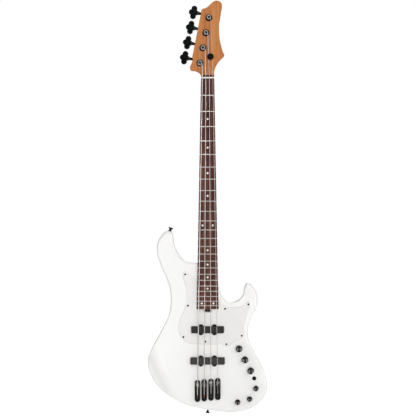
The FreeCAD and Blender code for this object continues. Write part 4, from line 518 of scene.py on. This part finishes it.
def path_lengths(path):
    """Length of the path up to each of its points."""
    steps = np.linalg.norm(np.diff(path, axis=0), axis=1)
    return np.concatenate([[0.0], np.cumsum(steps)])


def eased_corners(corners, setback):
    """Straight runs between corners; each corner is a parabola that begins and ends a setback away."""
    middle = corners[1:-1]
    before = middle + setback * unit(corners[:-2] - middle)
    after = middle + setback * unit(corners[2:] - middle)
    t = np.linspace(0, 1, 9)[None, :, None]
    bends = (1 - t) ** 2 * before[:, None] + 2 * t * (1 - t) * middle[:, None] + t ** 2 * after[:, None]
    return np.concatenate([corners[:1], bends.reshape(-1, 3), corners[-1:]])


def string_x(index, spread):
    """X of a string where the strings divide a spread evenly about the middle."""
    return spread * (index / (len(string_names) - 1) - 0.5)


def board_drop(x):
    """How far the rounded board falls beside its middle: R - sqrt(R^2 - x^2)."""
    return board_radius - math.sqrt(board_radius ** 2 - x ** 2)


def rail_end(index):
    """Z of a bridge rail's upper end; each rail lies a step further up than the one before."""
    return rail_front + (index + 0.5) * rail_step - scale_length


def ball_place(index):
    """Middle of a string's ball end, on its rail."""
    return np.array([string_x(index, bridge_spread), -ball_rise, rail_end(index) - ball_back])


def winding_radius(index):
    """Distance from a post's axis to the middle of the string wound on it."""
    return post_radius + string_diameters[index] / 2


def string_corners(index):
    """Ball end, saddle and nut of one string and, where it is held down, both sides of the retainer. Its
    height over saddle and nut follows the board's round, and it runs straight from nut to post."""
    half = string_diameters[index] / 2
    nut_x = string_x(index, nut_spread)
    saddle_x = string_x(index, bridge_spread)
    nut_y = board_drop(nut_x) - board_rise - nut_rise - half
    saddle_y = board_drop(saddle_x) - board_rise - saddle_rise - half
    corners = [ball_place(index) + (0.0, 0.0, ball_radius),
               (saddle_x, saddle_y, rail_end(index) - saddle_back),
               (nut_x, nut_y, nut_middle)]
    if index in retained_strings:
        post = joint_places["post_" + string_names[index]]
        side_run = post[0] + winding_radius(index) - nut_x
        for z in (retainer_along - retainer_half, retainer_along + retainer_half):
            x = nut_x + side_run * (z - nut_middle) / (post[2] - nut_middle)
            corners.append((x, half - retainer_rise, z))
    return np.array(corners)


def string_path(index):
    """Corners from the ball end to the post, then a helix down the post that falls a diameter and a gap
    with each turn. The last straight run meets the post's circle as a tangent: from a corner at a
    distance s it is sqrt(s^2 - r^2) long and turned by asin(r / s) from the line to the post's axis."""
    corners = string_corners(index)
    post = joint_places["post_" + string_names[index]]
    radius = winding_radius(index)
    gap = post - corners[-1]
    span = math.hypot(gap[0], gap[2])
    swing = math.asin(radius / span)
    run = math.sqrt(span ** 2 - radius ** 2)
    lead_x = (gap[0] * math.cos(swing) + gap[2] * math.sin(swing)) / span
    lead_z = (gap[2] * math.cos(swing) - gap[0] * math.sin(swing)) / span
    start = math.atan2(lead_z * run - gap[2], lead_x * run - gap[0])
    turn = np.linspace(0, 2 * np.pi * winding_turns, int(winding_turns * steps_per_turn) + 1)
    depth = (string_diameters[index] + winding_gap) * turn / (2 * np.pi) - winding_top
    around = start + turn
    helix = np.stack([post[0] + radius * np.cos(around), depth, post[2] + radius * np.sin(around)], -1)
    run_up = eased_corners(np.concatenate([corners, helix[:1]]), bend_setback)
    return np.concatenate([run_up, helix[1:]]) * MM


def make_string(index):
    """Round tube of the string's diameter along its whole path."""
    sides = 16
    path = string_path(index)
    grid = tube_grid(path, np.full(len(path), string_diameters[index] / 2 * MM), sides)
    uv = (np.linspace(0, 1, sides + 1), path_lengths(path))
    name = string_names[index]
    piece = surface("wound_string_" + name, grid, False, wound_wire, "instrument", uv)
    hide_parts("string_" + name)


def make_sleeve(index, finish):
    """Thread whipping over the string's last stretch: a tube a little thicker than the string, swollen
    at both ends, from the ball end up the run to the saddle."""
    sides = 20
    low, high = string_corners(index)[:2]
    share = np.array([0.0, 0.01, 0.03, 0.06, 0.1, 0.15, 0.17, 0.18])
    swell = np.array([0.02, 0.3, 0.34, 0.28, 0.26, 0.26, 0.18, 0.02])
    path = (low + share[:, None] * (high - low)) * MM
    grid = tube_grid(path, (string_diameters[index] / 2 + swell) * MM, sides)
    uv = (np.linspace(0, 1, sides + 1), path_lengths(path))
    surface("thread_sleeve_" + string_names[index], grid, False, finish, "instrument", uv)


def make_ball_end(index):
    """Spool turned about the X axis: a closed profile of rims, a waist and a bore."""
    sides = 40
    along = np.array([-2.7, -2.5, -1.6, -0.9, 0.9, 1.6, 2.5, 2.7, 2.7, 2.5, 0.0, -2.5, -2.7])
    radius = np.array([2.7, 3.0, 3.0, 2.3, 2.3, 3.0, 3.0, 2.7, 1.5, 1.2, 1.1, 1.2, 1.5])
    turn = np.linspace(0, 2 * np.pi, sides, endpoint=False)
    spoke = np.stack([0 * turn, np.cos(turn), np.sin(turn)], -1)
    axle = along[:, None, None] * np.array([1.0, 0.0, 0.0])
    grid = (ball_place(index) + axle + radius[:, None, None] * spoke) * MM
    uv = (np.linspace(0, 1, sides + 1), np.arange(len(along) + 1) * MM)
    surface("ball_end_" + string_names[index], grid, True, dark_steel, "instrument", uv)


def make_knob(node, grooves):
    """Turned knob about its shaft: a knurled wall whose radius dips with the cosine of the angle, a
    rounded rim, and a spun face dished as a parabola whose depth is a fixed share of its radius."""
    low, high = np.array(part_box(node)) / MM
    centre = (low + high) / 2
    reach = (high[0] - low[0]) / 2
    top = low[1]
    foot = -knob_lift
    lip = reach * lip_share
    face = np.linspace(1.0, 0.003, 12)
    # The profile runs from the shaft out along the foot, up the wall, over the rim and down the dish.
    inset = np.array([0.8, 0.15, 0.0, 0.0, 0.0, 0.1, 0.45, 1.0])
    wall = [foot, foot - 0.3, foot - 1.4, (foot + top) / 2, top + 2.6, top + 1.2, top + 0.4, top + 0.05]
    radius = np.concatenate([[shaft_room], reach - inset, [lip + 0.2], lip * face])
    height = np.concatenate([[foot], wall, [top], top + 0.1 + lip * dish_share * (1 - face ** 2)])
    grip = np.zeros(len(radius))
    grip[3:6] = (0.2, 1.0, 0.8)
    turn = np.linspace(0, 2 * np.pi, 4 * grooves, endpoint=False)
    dip = 0.5 - 0.5 * np.cos(grooves * turn)
    reach_at = radius[:, None] - groove_depth * grip[:, None] * dip
    grid = np.stack([centre[0] + reach_at * np.cos(turn), height[:, None] + 0 * reach_at,
                     centre[2] + reach_at * np.sin(turn)], -1) * MM
    uv = (np.linspace(0, 1, len(turn) + 1), np.linspace(0, 1, len(radius)))
    piece = surface("turned_" + node, grid, False, spun_black, node, uv)
    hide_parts(node)


for index in range(len(string_names)):
    make_string(index)
    make_ball_end(index)
for index, finish in enumerate((dull_thread, red_thread, black_thread, black_thread)):
    make_sleeve(index, finish)
for number in ("1", "2", "3"):
    make_knob("large_knob_" + number, large_knob_grooves)
    make_knob("small_knob_" + number, small_knob_grooves)


# Stage, light and camera

def seen_share(tree):
    """1 for a ray of the camera, of gloss or through glass, otherwise 0."""
    rays = tree.nodes.new("ShaderNodeLightPath")
    camera = rays.outputs["Is Camera Ray"]
    gloss = rays.outputs["Is Glossy Ray"]
    glass = rays.outputs["Is Transmission Ray"]
    plain = add(tree, "ShaderNodeMath", {0: camera, 1: gloss}, operation="MAXIMUM")
    return add(tree, "ShaderNodeMath", {0: plain, 1: glass}, operation="MAXIMUM")


def white_stage():
    """Flat floor well below the hanging instrument; it shows white to the camera, keeps soft shadows
    close by and runs out to full white."""
    half = 9.0
    low = cad_box[0][2] - 0.3
    floor = bpy.data.meshes.new("floor")
    corners = [(-half, -half, low), (half, -half, low), (half, half, low), (-half, half, low)]
    floor.from_pydata(corners, [], [(0, 1, 2, 3)])
    piece = bpy.data.objects.new("floor", floor)
    bpy.context.scene.collection.objects.link(piece)
    material, tree, shader = blank("pale_floor")
    spot = add(tree, "ShaderNodeTexCoord", out="Object")
    seen = seen_share(tree)
    far = add(tree, "ShaderNodeVectorMath", {0: spot}, "Value", operation="LENGTH")
    glow = add(tree, "ShaderNodeMapRange", {0: far, 1: 1.2, 2: 2.4, 3: 0.62, 4: 1.0})
    shown = add(tree, "ShaderNodeMath", {0: seen, 1: glow}, operation="MULTIPLY")
    link(tree, shader, {"Base Color": "#F2F2F2", "Roughness": 0.9, "Specular IOR Level": 0.0,
                        "Emission Color": "#FFFFFF", "Emission Strength": shown})
    floor.materials.append(material)


def studio_world(level):
    """Even white surroundings: full white to the camera, to gloss and through glass, dimmer as light."""
    world = bpy.data.worlds.new("studio")
    bpy.context.scene.world = world
    world.use_nodes = True
    tree = world.node_tree
    strength = add(tree, "ShaderNodeMapRange", {0: seen_share(tree), 3: level, 4: 1.0})
    link(tree, tree.nodes["Background"], {"Color": "#FFFFFF", "Strength": strength})


def direction(sight):
    """Turn that points a lamp's or camera's -Z axis along the given line of sight, its top upwards."""
    x, y, z = sight / np.linalg.norm(sight)
    return (math.acos(-z), 0.0, math.atan2(-x, y))


def softbox(name, place, target, size, power, diffuse=True, gloss=True):
    """Oblong area lamp at a place, facing a target; its size is width and height, and it may be left out
    of diffuse light or out of reflections."""
    lamp = bpy.data.lights.new(name, "AREA")
    lamp.shape = "RECTANGLE"
    lamp.size = size[0]
    lamp.size_y = size[1]
    lamp.energy = power
    holder = bpy.data.objects.new(name, lamp)
    bpy.context.scene.collection.objects.link(holder)
    holder.location = place
    holder.rotation_euler = direction(np.subtract(target, place))
    holder.visible_camera = False
    holder.visible_diffuse = diffuse
    holder.visible_glossy = gloss


def photo_camera():
    """Long lens straight in front; the picture is 1187.6 mm wide at the body's front face."""
    span = 1187.6 * MM
    middle_x = 1.1 * MM
    middle_z = -369.4 * MM
    lens = bpy.data.cameras.new("camera")
    lens.lens = 135.0
    lens.sensor_width = 36.0
    holder = bpy.data.objects.new("camera", lens)
    bpy.context.scene.collection.objects.link(holder)
    holder.location = (middle_x, -span * lens.lens / lens.sensor_width, middle_z)
    holder.rotation_euler = (math.pi / 2, 0.0, 0.0)
    bpy.context.scene.camera = holder


white_stage()
studio_world(0.36)
# The front box gives the even light and stays out of reflections, so that black pieces stay black. The
# key shades from the treble side. The strips show only as highlights on knobs, saddles and posts. The
# back box lights the other side.
softbox("front", (0.3, -5.4, -0.2), (0.0, 0.0, -0.45), (3.4, 3.4), 160.0, gloss=False)
softbox("key", (3.2, -2.8, 1.3), (0.0, 0.0, -0.6), (2.4, 2.4), 24.0)
softbox("left_strip", (-0.56, -1.5, -0.75), (0.0, 0.0, -0.8), (0.5, 1.0), 33.0, diffuse=False)
softbox("right_strip", (0.68, -1.5, -0.72), (0.0, 0.0, -0.8), (0.45, 1.0), 30.0, diffuse=False)
softbox("head_strip", (-0.4, -1.3, 0.75), (0.0, 0.0, 0.1), (0.7, 0.5), 22.0, diffuse=False)
softbox("back", (0.6, 3.0, 1.2), (0.0, 0.0, -0.5), (1.6, 1.6), 62.0)
photo_camera()
bpy.context.scene.view_settings.view_transform = "Standard"
